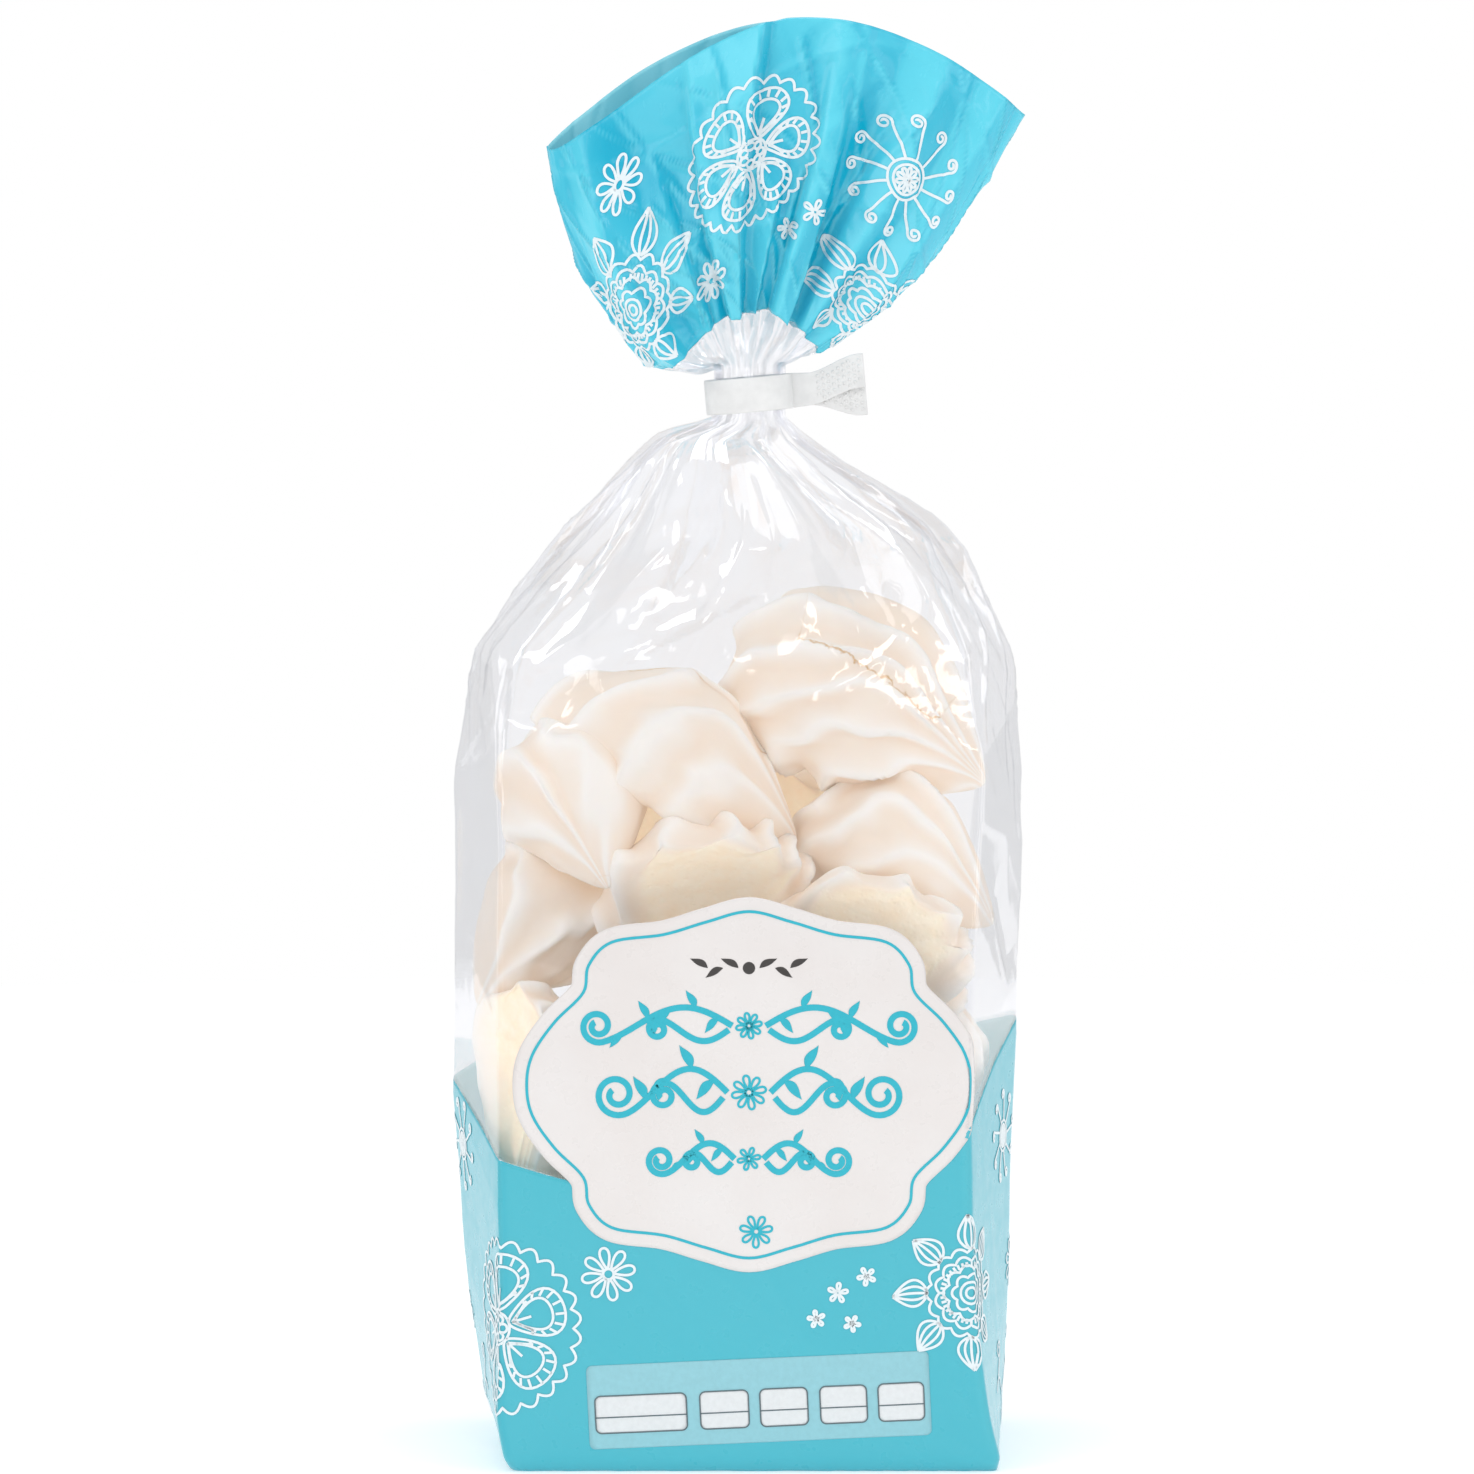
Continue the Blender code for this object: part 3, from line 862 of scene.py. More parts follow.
def makeShellTree():
    tree, _, value = newTree("meringue_shell", (
        "Length", "Width", "Height", "Ridges", "Ridge depth", "Twist", "Bend", "Tail", "Drop", "Hollow",
        "Crack", "Seed",
    ))
    ball = addNode(tree, "GeometryNodeMeshUVSphere", {
        "Segments": shellLook["segments"], "Rings": shellLook["rings"], "Radius": 1.0,
    })
    position = addNode(tree, "GeometryNodeInputPosition").outputs[0]
    split = addNode(tree, "ShaderNodeSeparateXYZ", {0: position})
    side, up, h = (field(tree, socket) for socket in split.outputs)
    turn = up.maths("ARCTAN2", up, side)
    ring = (1.0 - h * h).atLeast(0.0) ** 0.5

    def cloud(scale, detail):
        noise = addNode(tree, "ShaderNodeTexNoise", {
            "Vector": position, "W": value["Seed"], "Scale": scale, "Detail": detail,
        }, noise_dimensions="4D")
        return field(tree, noise.outputs["Fac"]) - 0.5

    broad, small = cloud(1.3, 1.0), cloud(5.0, 3.0)
    ahead = h.atLeast(0.0)
    # the ridges run out from the tail's tip to the rim: thin crests with wide hollows between them
    fromTail = 1.1 - h
    spread = side.maths("ARCTAN2", side, fromTail)
    phase = spread * value["Ridges"] * 1.3 + value["Twist"] * fromTail * fromTail + broad * 10.0
    phase = (phase + phase.sin() * 0.5 + (spread * 3.0 + value["Seed"]).sin() * 1.4) * 0.5
    crest = 1.0 - (phase.sin() ** 2.0 + 0.07) ** 0.5
    uneven = 1.0 + (spread * 4.0 + value["Seed"]).sin() * 0.3 + broad * 2.6
    nearTail, nearBlunt = 1.0 - 0.85 * h.step(0.35, 1.0), 1.0 - 0.3 * h.step(-0.3, -1.0)
    depth = value["Ridge depth"] * nearTail * uneven * nearBlunt
    pointed = ring ** (0.82 + 0.5 * h.step(0.1, 0.95))
    tapered = 1.0 - 0.3 * h.step(0.15, 1.0) - 0.06 * h.step(-1.0, 0.2)
    swell = 1.0 - depth + depth * crest * 1.2 + broad * 0.24 + small * 0.015
    radial = pointed * tapered * swell
    length = h * value["Length"] * 0.5 * (1.0 + (swell - 1.0) * (1.0 - h.step(0.2, 0.9)))
    length = length + value["Tail"] * ahead ** 5.0
    across = radial * turn.cos() * value["Width"] * 0.5 + value["Bend"] * ahead * ahead
    plane = value["Height"] * -0.3
    # the blunt end comes down to the base, and the tail droops to it
    lowered = plane * 0.95 * (1.0 - h.step(-1.0, -0.1)) - value["Drop"] * ahead ** 2.0
    raised = radial * turn.sin() * value["Height"] * 0.72 + lowered
    # the side wall turns into the underside with a soft lip
    under = 1.0 - raised.step(plane - 7.0, plane - 1.6)
    inner = (1.0 - (across / (value["Width"] * 0.52)) ** 2.0) * (1.0 - h * h)
    hollow = value["Hollow"] * inner.atLeast(0.0) * raised.step(plane, plane - 5.0) + small * 0.8
    height = raised.maths("SMOOTH_MAX", raised, plane, 7.5) + hollow * under
    # the crack runs along the middle of the shell and is out of reach near its ends
    inRange = h.step(-0.75, -0.6) * (1.0 - h.step(0.6, 0.75))
    crack = (turn - value["Crack"]) * radial * value["Width"] * 0.5 + (1.0 - inRange) * 40.0
    geometry = ball.outputs["Mesh"]
    for name, number in (("underside", under), ("crest", crest), ("crack", crack)):
        geometry = addNode(tree, "GeometryNodeStoreNamedAttribute", {
            "Geometry": geometry, "Name": name, "Value": number,
        }, data_type="FLOAT", domain="POINT").outputs["Geometry"]
    spot = addNode(tree, "ShaderNodeCombineXYZ", {0: length * mm, 1: across * mm, 2: height * mm})
    moved = addNode(tree, "GeometryNodeSetPosition", {"Geometry": geometry, "Position": spot.outputs[0]})
    endTree(tree, moved.outputs[0], meringueCrust)
    return tree


# Each shell: its middle (x, y, z), the way its tail points, the way its top faces, its length,
# width and height, then how many ridges it has, how far they wind, and how far the tail bends aside
shellPlaces = (
    ("top_right", (25, -9, 163), (0.88, -0.10, -0.46), (0.06, -0.95, 0.30), (60, 50, 26), 14, 2.6, -4),
    ("sideways", (-15, -15, 150.5), (0.86, -0.12, -0.50), (0.45, -0.45, 0.77), (59, 40, 26), 7, 3, 3),
    ("left_drop", (-35, -16, 142), (0.14, -0.72, -0.68), (-0.42, -0.66, 0.60), (44, 38, 27), 7, 2.2, 2),
    ("left_low", (-44, -5, 115), (-0.70, -0.34, -0.62), (-0.10, -0.84, 0.52), (42, 38, 25), 5, 1.6, 3),
    ("middle_rim", (-7, -18, 118), (-0.05, 0.62, -0.78), (-0.10, 0.77, 0.61), (54, 52, 25), 24, 1.6, 0),
    ("right_dome", (32.5, -13, 129.5), (0.78, -0.30, -0.55), (0.02, -0.66, 0.75), (46, 38, 28), 7, 2, 3),
    ("right_under", (26.5, -21, 103.5), (-0.30, 0.42, -0.86), (0.10, 0.90, 0.42), (56, 50, 23), 23, 1.6, 0),
    ("left_under", (-44, -20, 80), (0.10, -0.20, -0.97), (0.80, 0.55, 0.20), (46, 40, 25), 10, 2, 0),
    ("right_side", (44, -14, 84), (0.15, 0.10, -0.98), (0.55, -0.75, 0.25), (44, 38, 26), 10, 2, 0),
    ("low_middle", (-6, -16, 88), (0.95, 0.20, 0.10), (0, -0.60, 0.80), (52, 44, 28), 11, 2.4, 0),
    ("low_left", (-28, -16, 50), (0.80, 0.10, -0.50), (0.20, -0.70, 0.68), (50, 42, 28), 10, 2.4, 0),
    ("low_right", (26, -16, 50), (-0.85, 0.10, -0.45), (0.10, -0.70, 0.70), (50, 42, 28), 11, 2.4, 0),
    ("back_left", (-30, 19, 132), (-0.60, 0.30, -0.74), (-0.20, 0.90, 0.38), (50, 42, 28), 11, 2.6, 3),
    ("back_right", (20, 20, 128), (0.80, 0.20, -0.55), (0.20, 0.88, 0.42), (54, 44, 28), 12, 2.6, -3),
    ("back_middle", (-2, 21, 98), (-0.85, 0.10, -0.50), (0.10, 0.90, 0.40), (52, 42, 27), 11, 2.6, 3),
    ("back_low_left", (-32, 18, 74), (0.55, 0.20, 0.80), (-0.30, 0.92, 0.22), (48, 42, 28), 10, 2.4, 0),
    ("back_low_right", (30, 18, 74), (0.50, 0.20, -0.84), (0.30, 0.90, 0.30), (50, 42, 28), 11, 2.4, 0),
    ("back_bottom", (-4, 18, 42), (0.90, 0.10, 0.30), (-0.10, 0.80, 0.60), (50, 42, 28), 10, 2.4, 0),
    ("floor_left", (-28, 0, 17), (0.90, 0.30, 0), (0.05, 0.10, 0.99), (50, 44, 26), 11, 2.4, 0),
    ("floor_right", (28, 2, 17), (-0.85, 0.40, 0), (0, -0.10, 0.99), (50, 44, 26), 10, 2.4, 0),
)
shellLook = {
    "ridgeDepth": 0.14,
    "tail": 3.0,
    "drop": 5.0,
    "hollow": 5.0,
    # shells that show their underside, which is nearly flat
    "shownUndersides": ("middle_rim", "right_under"),
    "rimDepth": 0.13,
    "shallowHollow": 1.5,
    # the shells whose top has a fine crack, and where it runs round the shell
    "cracks": {"top_right": 1.5, "sideways": 1.2},
    "noCrack": 20.0,
    "seedStep": 3.7,
    "mergeDistance": 0.004,
    "clearance": 2.2,
    "segments": 144,
    "rings": 80,
}


def placeMatrix(middle, tail, top):
    tail, top = Vector(tail).normalized(), Vector(top)
    top = (top - tail * top.dot(tail)).normalized()
    axes = Matrix((tail, top.cross(tail), top)).transposed().to_4x4()
    return Matrix.Translation(Vector(middle) * mm) @ axes


def keepBehindFilm(mesh):
    # moves a whole shell in from the film where it would touch it
    points = np.empty(len(mesh.vertices) * 3)
    room = shellLook["clearance"]

    def most(past):
        return max(0.0, past.max())

    for _ in range(4):
        mesh.vertices.foreach_get("co", points)
        x, y, z = points.reshape(-1, 3).T / mm
        left, right, halfDepth, inset = sidesAt(z)
        slope = inset / halfDepth * np.abs(y)
        move = Vector((
            most(left + slope + room - x) - most(x - right + slope + room),
            most(room - halfDepth - y) - most(y - halfDepth + room),
            most(1.0 - z),
        ))
        mesh.transform(Matrix.Translation(move * mm))


def makeMeringues():
    tree = makeShellTree()
    for number, (label, middle, tail, top, size, ridges, wind, bend) in enumerate(shellPlaces):
        shell = addObject("meringue_" + label, bpy.data.meshes.new("meringue_" + label))
        shown = label in shellLook["shownUndersides"]
        runTree(shell, tree, {
            "Length": size[0], "Width": size[1], "Height": size[2],
            "Ridges": ridges, "Twist": wind, "Bend": bend,
            "Ridge depth": shellLook["rimDepth" if shown else "ridgeDepth"],
            "Tail": shellLook["tail"], "Drop": shellLook["drop"],
            "Hollow": shellLook["shallowHollow" if shown else "hollow"],
            "Crack": shellLook["cracks"].get(label, shellLook["noCrack"]),
            "Seed": number * shellLook["seedStep"],
        })
        faceOutwards(shell.data, shellLook["mergeDistance"] * mm)
        shell.data.transform(placeMatrix(middle, tail, top))
        keepBehindFilm(shell.data)
        finishPiece(shell)


print("meringues")
makeMeringues()


# Line ornament: a figure is a list of lines, each an array of (x, y) in millimetres and whether it
# is closed

def turnsRound(count):
    return np.linspace(0.0, 2.0 * math.pi, count, endpoint=False)


def circleLine(x, y, radius, count=40):
    turns = turnsRound(count)
    return np.stack([x + radius * np.cos(turns), y + radius * np.sin(turns)], axis=-1)


def turned(points, x, y, angle):
    # points given along and across a direction, moved to (x, y) and turned by the angle
    c, s = math.cos(angle), math.sin(angle)
    along, across = np.asarray(points, float).T
    return np.stack([x + along * c - across * s, y + along * s + across * c], axis=-1)


def petalLine(x, y, angle, inner, outer, width):
    # a round-ended petal
    turns = turnsRound(30)
    along = inner + (outer - inner) * (1.0 - np.cos(turns)) / 2
    across = width * np.sin(turns) * (0.35 + 0.65 * (1.0 - np.cos(turns)) / 2)
    return turned(np.stack([along, across], axis=-1), x, y, angle)


def leafLines(x, y, angle, inner, outer, width, ribs):
    # a pointed leaf with ribs from its foot, its tip leaning to one side
    share = np.linspace(0.0, 1.0, 16)
    reach = outer - inner
    lines = []
    for rib in np.linspace(-1.0, 1.0, ribs + 2):
        across = rib * width * np.sin(math.pi * share**0.75) ** 0.9 + 0.12 * reach * share**3
        lines.append(turned(np.stack([inner + reach * share, across], axis=-1), x, y, angle))
    return lines


def curlLine(x, y, angle, inner, outer, size, hand):
    # a bowed stem that ends in a curl
    share = np.linspace(0.0, 1.0, 12)
    bow = hand * size * 0.5 * np.sin(share * math.pi / 2) ** 2
    stem = np.stack([inner + (outer - inner) * share, bow], axis=-1)
    wind = np.linspace(0.0, 2.9 * math.pi, 34)
    radius = size * (1.0 - wind / wind[-1] * 0.78)
    across = bow[-1] + hand * size - hand * radius * np.cos(wind)
    spiral = np.stack([outer + radius * np.sin(wind), across], axis=-1)
    return turned(np.concatenate([stem, spiral[1:]]), x, y, angle)


def scallopLine(x, y, radius, count, rise):
    turns = turnsRound(count * 10)
    reach = radius + rise * np.abs(np.sin(turns * count / 2))
    return np.stack([x + reach * np.cos(turns), y + reach * np.sin(turns)], axis=-1)


def daisy(x, y, size, petals, start=0.2):
    lines = [(circleLine(x, y, size * 0.2, 18), True)]
    for angle in start + turnsRound(petals):
        lines.append((petalLine(x, y, angle, size * 0.22, size, size * 0.24), True))
    return lines


def rosette(x, y, size, leaves, start):
    # rings of scallops and spokes, with pointed leaves all round
    lines = [(circleLine(x, y, size * 0.07, 14), True), (circleLine(x, y, size * 0.14, 20), True)]
    for radius, count, rise in ((0.2, 7, 0.05), (0.3, 9, 0.06), (0.41, 12, 0.06), (0.52, 15, 0.06)):
        lines.append((scallopLine(x, y, size * radius, count, size * rise), True))
    for angle in turnsRound(40):
        lines.append((turned([(size * 0.335, 0.0), (size * 0.4, 0.0)], x, y, angle), False))
    ribs = 3 if size > 15.5 else 2
    for angle in start + turnsRound(leaves):
        for line in leafLines(x, y, angle, size * 0.56, size, size * 0.17, ribs):
            lines.append((line, False))
    return lines


def roundFlower(x, y, size, petals, start):
    # broad doubled petals with stitches between their outlines, and a seeded middle
    lines = [(circleLine(x, y, size * 0.2, 24), True)]
    for seedX, seedY in circleLine(x, y, size * 0.12, 7):
        lines.append((circleLine(seedX, seedY, size * 0.05, 10), True))
    for angle in start + turnsRound(petals):
        outer = petalLine(x, y, angle, size * 0.2, size * 0.84, size * 0.36)
        inner = petalLine(x, y, angle, size * 0.28, size * 0.7, size * 0.24)
        lines += [(outer, True), (inner, True)]
        for place in range(6, 25, 2):
            lines.append((np.stack([outer[place], inner[place] * 0.8 + outer[place] * 0.2]), False))
        for spread in (-0.18, 0.0, 0.18):
            lines.append((turned([(size * 0.24, 0.0), (size * 0.46, size * spread)], x, y, angle), False))
    lines.append((scallopLine(x, y, size * 0.9, 26, size * 0.09), True))
    return lines


def curlSun(x, y, size, count, start):
    lines = [(circleLine(x, y, size * 0.3), True), (circleLine(x, y, size * 0.22, 30), True)]
    for angle in turnsRound(10):
        lines.append((petalLine(x, y, angle, size * 0.03, size * 0.18, size * 0.04), True))
    for angle in start + turnsRound(count):
        lines.append((curlLine(x, y, angle, size * 0.3, size * 0.8, size * 0.1, 1), False))
    return lines


def vine(x, y, length, size, angle, curls):
    # a waving stem with curls on both sides in turn
    share = np.linspace(0.0, 1.0, 50)
    stem = np.stack([length * share, size * 0.5 * np.sin(share * math.pi * curls)], axis=-1)
    stem = turned(stem, x, y, angle)
    lines = [(stem, False)]
    for k in range(curls):
        foot = stem[int((k + 0.35) / curls * 49)]
        hand = -1 if k % 2 else 1
        lines.append((curlLine(*foot, angle + hand * 0.7, 0.0, size * 1.3, size * 0.5, hand), False))
    return lines


def evenly(points, closed):
    # more points where a stretch is longer than the step, in millimetres on the film
    ends = np.roll(points, -1, axis=0) if closed else points[1:]
    fine = []
    for start, end in zip(points, ends):
        reach = math.hypot((end[0] - start[0]) * film["roundLength"], end[1] - start[1])
        parts = max(1, math.ceil(reach / ornament["step"]))
        fine += [start + (end - start) * part / parts for part in range(parts)]
    if not closed:
        fine.append(points[-1])
    return np.array(fine)


def makeLineTree(material):
    tree, lines, value = newTree("line_" + material.name, ("Width", "Thickness"))
    curve = addNode(tree, "GeometryNodeMeshToCurve", {"Mesh": lines})
    facing = addNode(tree, "GeometryNodeInputNamedAttribute", {"Name": "facing"}, data_type="FLOAT_VECTOR")
    aimed = addNode(tree, "GeometryNodeSetCurveNormal", {
        "Curve": curve.outputs["Curve"], "Normal": facing.outputs["Attribute"],
    }, mode="FREE")
    section = addNode(tree, "GeometryNodeCurvePrimitiveQuadrilateral", {
        "Width": value["Thickness"], "Height": value["Width"],
    }, mode="RECTANGLE")
    swept = addNode(tree, "GeometryNodeCurveToMesh", {
        "Curve": aimed.outputs["Curve"], "Profile Curve": section.outputs["Curve"], "Fill Caps": True,
    })
    endTree(tree, swept.outputs["Mesh"], material)
    return tree


def drawLines(name, lines, material, width, lift):
    # lays lines given in film coordinates on the film, and gives them their width
    spots, facings, edges = [], [], []
    for points, closed in lines:
        points = evenly(points, closed)
        laid, out = onFilm(points[:, 0], points[:, 1], lift)
        first, last = len(spots), len(spots) + len(laid) - 1
        spots += laid.tolist()
        facings += out.tolist()
        edges += [(k, k + 1) for k in range(first, last)]
        if closed:
            edges.append((last, first))
    obj = meshObject(name, spots, edges=edges)
    facing = obj.data.attributes.new("facing", "FLOAT_VECTOR", "POINT")
    facing.data.foreach_set("vector", np.array(facings, np.float32).reshape(-1))
    runTree(obj, makeLineTree(material), {"Width": width * mm, "Thickness": ornament["thickness"] * mm})
    finishPiece(obj, smooth=False)


def frontLines(lines):
    return [(fromFront(points), closed) for points, closed in lines]


def linesAt(u, v, lines):
    # from millimetres round one place of the film to film coordinates, as long and wide as there
    step = 0.004
    du = np.linalg.norm(smoothFilm(u + step, v) - smoothFilm(u - step, v)) / (2 * step)
    dv = np.linalg.norm(smoothFilm(u, v + 1.0) - smoothFilm(u, v - 1.0)) / 2.0
    return [(np.stack([u + p[:, 0] / du, v + p[:, 1] / dv], axis=-1), closed) for p, closed in lines]


ornament = {
    "step": 0.6,
    "thickness": 0.07,
    "lift": 0.13,
    "lowerWidth": 0.55,
    "fanWidth": 0.6,
    # each figure on the front with its middle, its size, its count and its turn
    "front": (
        (roundFlower, -52, 31, 19, 6, 0.3), (daisy, -27.5, 42.5, 5.6, 8), (rosette, 48.5, 38.5, 16.5, 8, 0),
        (daisy, 20.5, 38.5, 2.1, 5), (daisy, 26.5, 42, 1.9, 5, 0.8), (daisy, 16, 33, 1.8, 5, 0.5),
        (daisy, 23.5, 32, 1.7, 5, 1.1),
    ),
    # (u, v) on the sides and the back, then the figure that stands there
    "around": (
        (-0.09, 66, curlSun, 0, 0, 11, 9, 0.3), (-0.12, 30, daisy, 0, 0, 5.5, 8, 0.6),
        (0.36, 68, curlSun, 0, 0, 11, 9, 0.1), (0.39, 40, daisy, 0, 0, 5.5, 8, 0.6),
        (0.37, 14, vine, -12, 0, 24, 4.5, 0.1, 3), (-0.10, 12, vine, -12, 0, 24, 4.5, 0.1, 3),
        (0.56, 38, rosette, 0, 0, 20, 8, 0.1), (0.71, 36, roundFlower, 0, 0, 19, 5, 0.5),
        (0.635, 58, curlSun, 0, 0, 12, 10, 0.2), (0.62, 24, daisy, 0, 0, 5.5, 8),
        (0.65, 14, daisy, 0, 0, 3, 5),
    ),
    # across and up the fan: across runs from -1 at the left corner to 1 at the right one on the
    # front, and from 1 to 3 on the back
    "fan": (
        (-0.08, 0.66, roundFlower, 0, 0, 15.5, 6, 0.2), (-0.66, 0.52, rosette, 0, 0, 15, 8, 0.1),
        (-0.56, 0.84, daisy, 0, 0, 5.6, 8, 0.4), (0.52, 0.70, curlSun, 0, 0, 14, 12, 0.1),
        (0.22, 0.50, daisy, 0, 0, 2.6, 5), (0.12, 0.43, daisy, 0, 0, 2.2, 5, 0.7),
        (0.74, 0.36, rosette, 0, 0, 12.5, 8, 0.3), (-0.30, 0.36, daisy, 0, 0, 4, 8, 0.1),
        (2, 0.62, rosette, 0, 0, 16, 9, 0.2), (1.42, 0.66, curlSun, 0, 0, 14, 11, 0.2),
        (2.55, 0.60, roundFlower, 0, 0, 14, 6, 0.1), (1.7, 0.38, daisy, 0, 0, 4, 8),
    ),
}


print("ornament")
lowerLines, upperLines = [], []
for figure, *values in ornament["front"]:
    lowerLines += frontLines(figure(*values))
for u, v, figure, *values in ornament["around"]:
    lowerLines += linesAt(u, v, figure(*values))
for across, t, figure, *values in ornament["fan"]:
    u, v = film["frontShare"] / 2 + across / 4, film["neckTo"] + t * film["fanLength"]
    upperLines += linesAt(u, v, figure(*values))
drawLines("ornament_lower", lowerLines, whiteInk, ornament["lowerWidth"], ornament["lift"])
drawLines("ornament_fan", upperLines, whiteInk, ornament["fanWidth"], ornament["lift"])


# Plaque and panel on the front

plaque = {
    "middle": (1.9, 82.3),
    # a quarter of the line inside its border, from the top's point to the left side's middle
    "quarter": (
        (0, 36.4), (9, 34.2), (17.8, 31.6), (28.6, 30), (33.4, 25.2), (34.6, 19.4), (40.6, 13.2),
        (45.2, 6.4), (46.4, 0),
    ),
    "border": 3.0,
    "lineWidth": 0.6,
    "strokeWidth": 1.3,
    "daisyWidth": 0.5,
    # how far the plaque, its lines and its leaves stand off the film
    "lift": 0.12,
    "lineLift": 0.17,
    "leafLift": 0.2,
    # each row of strokes and leaves: its height over the middle, its length, its size, its leaves
    "rows": ((12.5, 27, 7, 5), (-1.5, 21, 9, 4), (-15.5, 14, 6, 3)),
    # each daisy: its place from the middle, its size and its petals
    "daisies": ((0, 12.5, 2.7, 8), (0, -1.5, 3.6, 8), (0, -15.5, 2.4, 6), (1.5, -30.8, 3.4, 7)),
    # the small sprig near the top: its height over the middle, where its leaves start and how far
    # apart they stand, their tilt, length and width, and the radius of the dot between them
    "sprig": (24.6, 2.2, 3.2, 0.5, 4.2, 1.0, 1.3),
    "thickness": 0.05,
}
plaqueX, plaqueZ = plaque["middle"]


def plaqueOutline(grow):
    quarter = plaque["quarter"]
    corners = [(-x, z) for x, z in quarter] + [(-x, -z) for x, z in quarter[-2::-1]]
    corners += [(x, -z) for x, z in quarter[1:]] + [(x, z) for x, z in quarter[-2:0:-1]]
    around = (np.roll(np.array(corners), -step, axis=0)[:, None] for step in (-1, 0, 1, 2))
    points = curveBetween(*around, np.linspace(0.0, 1.0, 8, endpoint=False)[:, None]).reshape(-1, 2)
    along = np.roll(points, -1, axis=0) - np.roll(points, 1, axis=0)
    normal = np.stack([along[:, 1], -along[:, 0]], axis=-1)
    normal /= np.linalg.norm(normal, axis=1, keepdims=True)
    return np.array(plaque["middle"]) + points + normal * grow


def mirrored(shapes):
    # the same shapes on the other side of the plaque's middle
    return [np.stack([2 * plaqueX - points[:, 0], points[:, 1]], axis=-1) for points in shapes]


def scrollLine(x, y, length, size, hand):
    # an S-shaped stroke that winds up at its far end
    share = np.linspace(0.0, 1.0, 26)
    bow = hand * size * 0.55 * np.sin(share * math.pi * 1.35)
    stem = np.stack([length * share, bow], axis=-1)
    heading = math.atan2(stem[-1, 1] - stem[-2, 1], stem[-1, 0] - stem[-2, 0])
    wind = np.linspace(0.0, 1.45 * 2.0 * math.pi, 44)[1:]
    radius = size * 0.5 * (1.0 - 0.72 * wind / wind[-1])
    side = heading + hand * math.pi / 2
    centre = stem[-1] + size * 0.5 * np.array((math.cos(side), math.sin(side)))
    turns = side + math.pi + hand * wind
    curl = centre + np.stack([radius * np.cos(turns), radius * np.sin(turns)], axis=-1)
    return np.concatenate([stem, curl]) + np.array((x, y))


def leafOutline(x, y, angle, length, width):
    share = np.linspace(0.0, 1.0, 15)
    upper = np.stack([length * share, width * np.sin(math.pi * share**0.75) ** 1.2], axis=-1)
    back = share[-2:0:-1]
    lower = np.stack([length * back, -width * 0.45 * np.sin(math.pi * back)], axis=-1)
    return turned(np.concatenate([upper, lower]), x, y, angle)


def flourishRow(y, length, size, leaves):
    # the right half of one row: strokes and filled leaves from the middle outwards
    lines = [
        scrollLine(size * 0.5, y, length, size, 1),
        scrollLine(size * 0.6, y - size * 0.12, length * 0.52, size * 0.62, -1),
    ]
    outlines = []
    for k in range(leaves):
        share = (k + 0.55) / leaves
        foot = size * 0.5 + length * share * 0.92
        rise = size * 0.55 * math.sin(share * 0.92 * math.pi * 1.35)
        hand = 1 if k % 2 else -1
        outlines.append(leafOutline(foot, y + rise, hand * 0.95 + 0.15, size * 0.62, size * 0.16))
    return lines, outlines


def makePatches(name, outlines, material, lift, rings):
    # fills outlines with rings round their middles, laid on the film, as one piece
    points, faces = [], []
    for outline in outlines:
        middle = outline.mean(axis=0)
        shares = np.linspace(0.0, 1.0, rings + 1)[1:, None, None]
        grid = np.concatenate([(middle + (outline - middle) * shares).reshape(-1, 2), middle[None]])
        first, count = len(points), len(outline)
        points += onFilm(*fromFront(grid).T, lift)[0].tolist()
        # every face has to look to the front, also in an outline that runs clockwise
        (x, z), (nextX, nextZ) = (outline - middle).T, (np.roll(outline, -1, axis=0) - middle).T
        clockwise = (x * nextZ - z * nextX).sum() < 0
        filled = []
        for k in range(count):
            after = (k + 1) % count
            filled.append((first + rings * count, first + k, first + after))
            for low in range(first, first + (rings - 1) * count, count):
                filled.append((low + k, low + count + k, low + count + after, low + after))
        faces += [face[:1] + face[:0:-1] for face in filled] if clockwise else filled
    finishPiece(wall(meshObject(name, points, faces, (material,)), plaque["thickness"]))


def drawPlaqueLines(name, lines, width):
    drawLines(name, frontLines(lines), turquoiseInk, width, plaque["lineLift"])


print("plaque and panel")
border = plaqueOutline(plaque["border"])
makePatches("plaque", [border], plaqueWhite, plaque["lift"], 40)
drawPlaqueLines("plaque_line", [(plaqueOutline(0.0), True)], plaque["lineWidth"])
strokes, leaves, daisies = [], [], []
for height, length, size, count in plaque["rows"]:
    rowStrokes, rowLeaves = flourishRow(height, length, size, count)
    strokes += [points + np.array(plaque["middle"]) for points in rowStrokes]
    leaves += [points + np.array(plaque["middle"]) for points in rowLeaves]
strokes += mirrored(strokes)
drawPlaqueLines("plaque_strokes", [(points, False) for points in strokes], plaque["strokeWidth"])
leaves += mirrored(leaves)
makePatches("plaque_leaves", leaves, turquoiseInk, plaque["leafLift"], 4)
for x, z, size, petals in plaque["daisies"]:
    daisies += daisy(plaqueX + x, plaqueZ + z, size, petals)
drawPlaqueLines("plaque_daisies", daisies, plaque["daisyWidth"])
height, start, step, tilt, length, width, dot = plaque["sprig"]
sprig = []
for k in range(3):
    angle = -tilt if k % 2 else tilt
    sprig.append(leafOutline(plaqueX + start + step * k, plaqueZ + height, angle, length, width))
sprig += mirrored(sprig)
sprig.append(circleLine(plaqueX, plaqueZ + height, dot, 20))
makePatches("plaque_sprig", sprig, charcoalInk, plaque["lineLift"], 4)


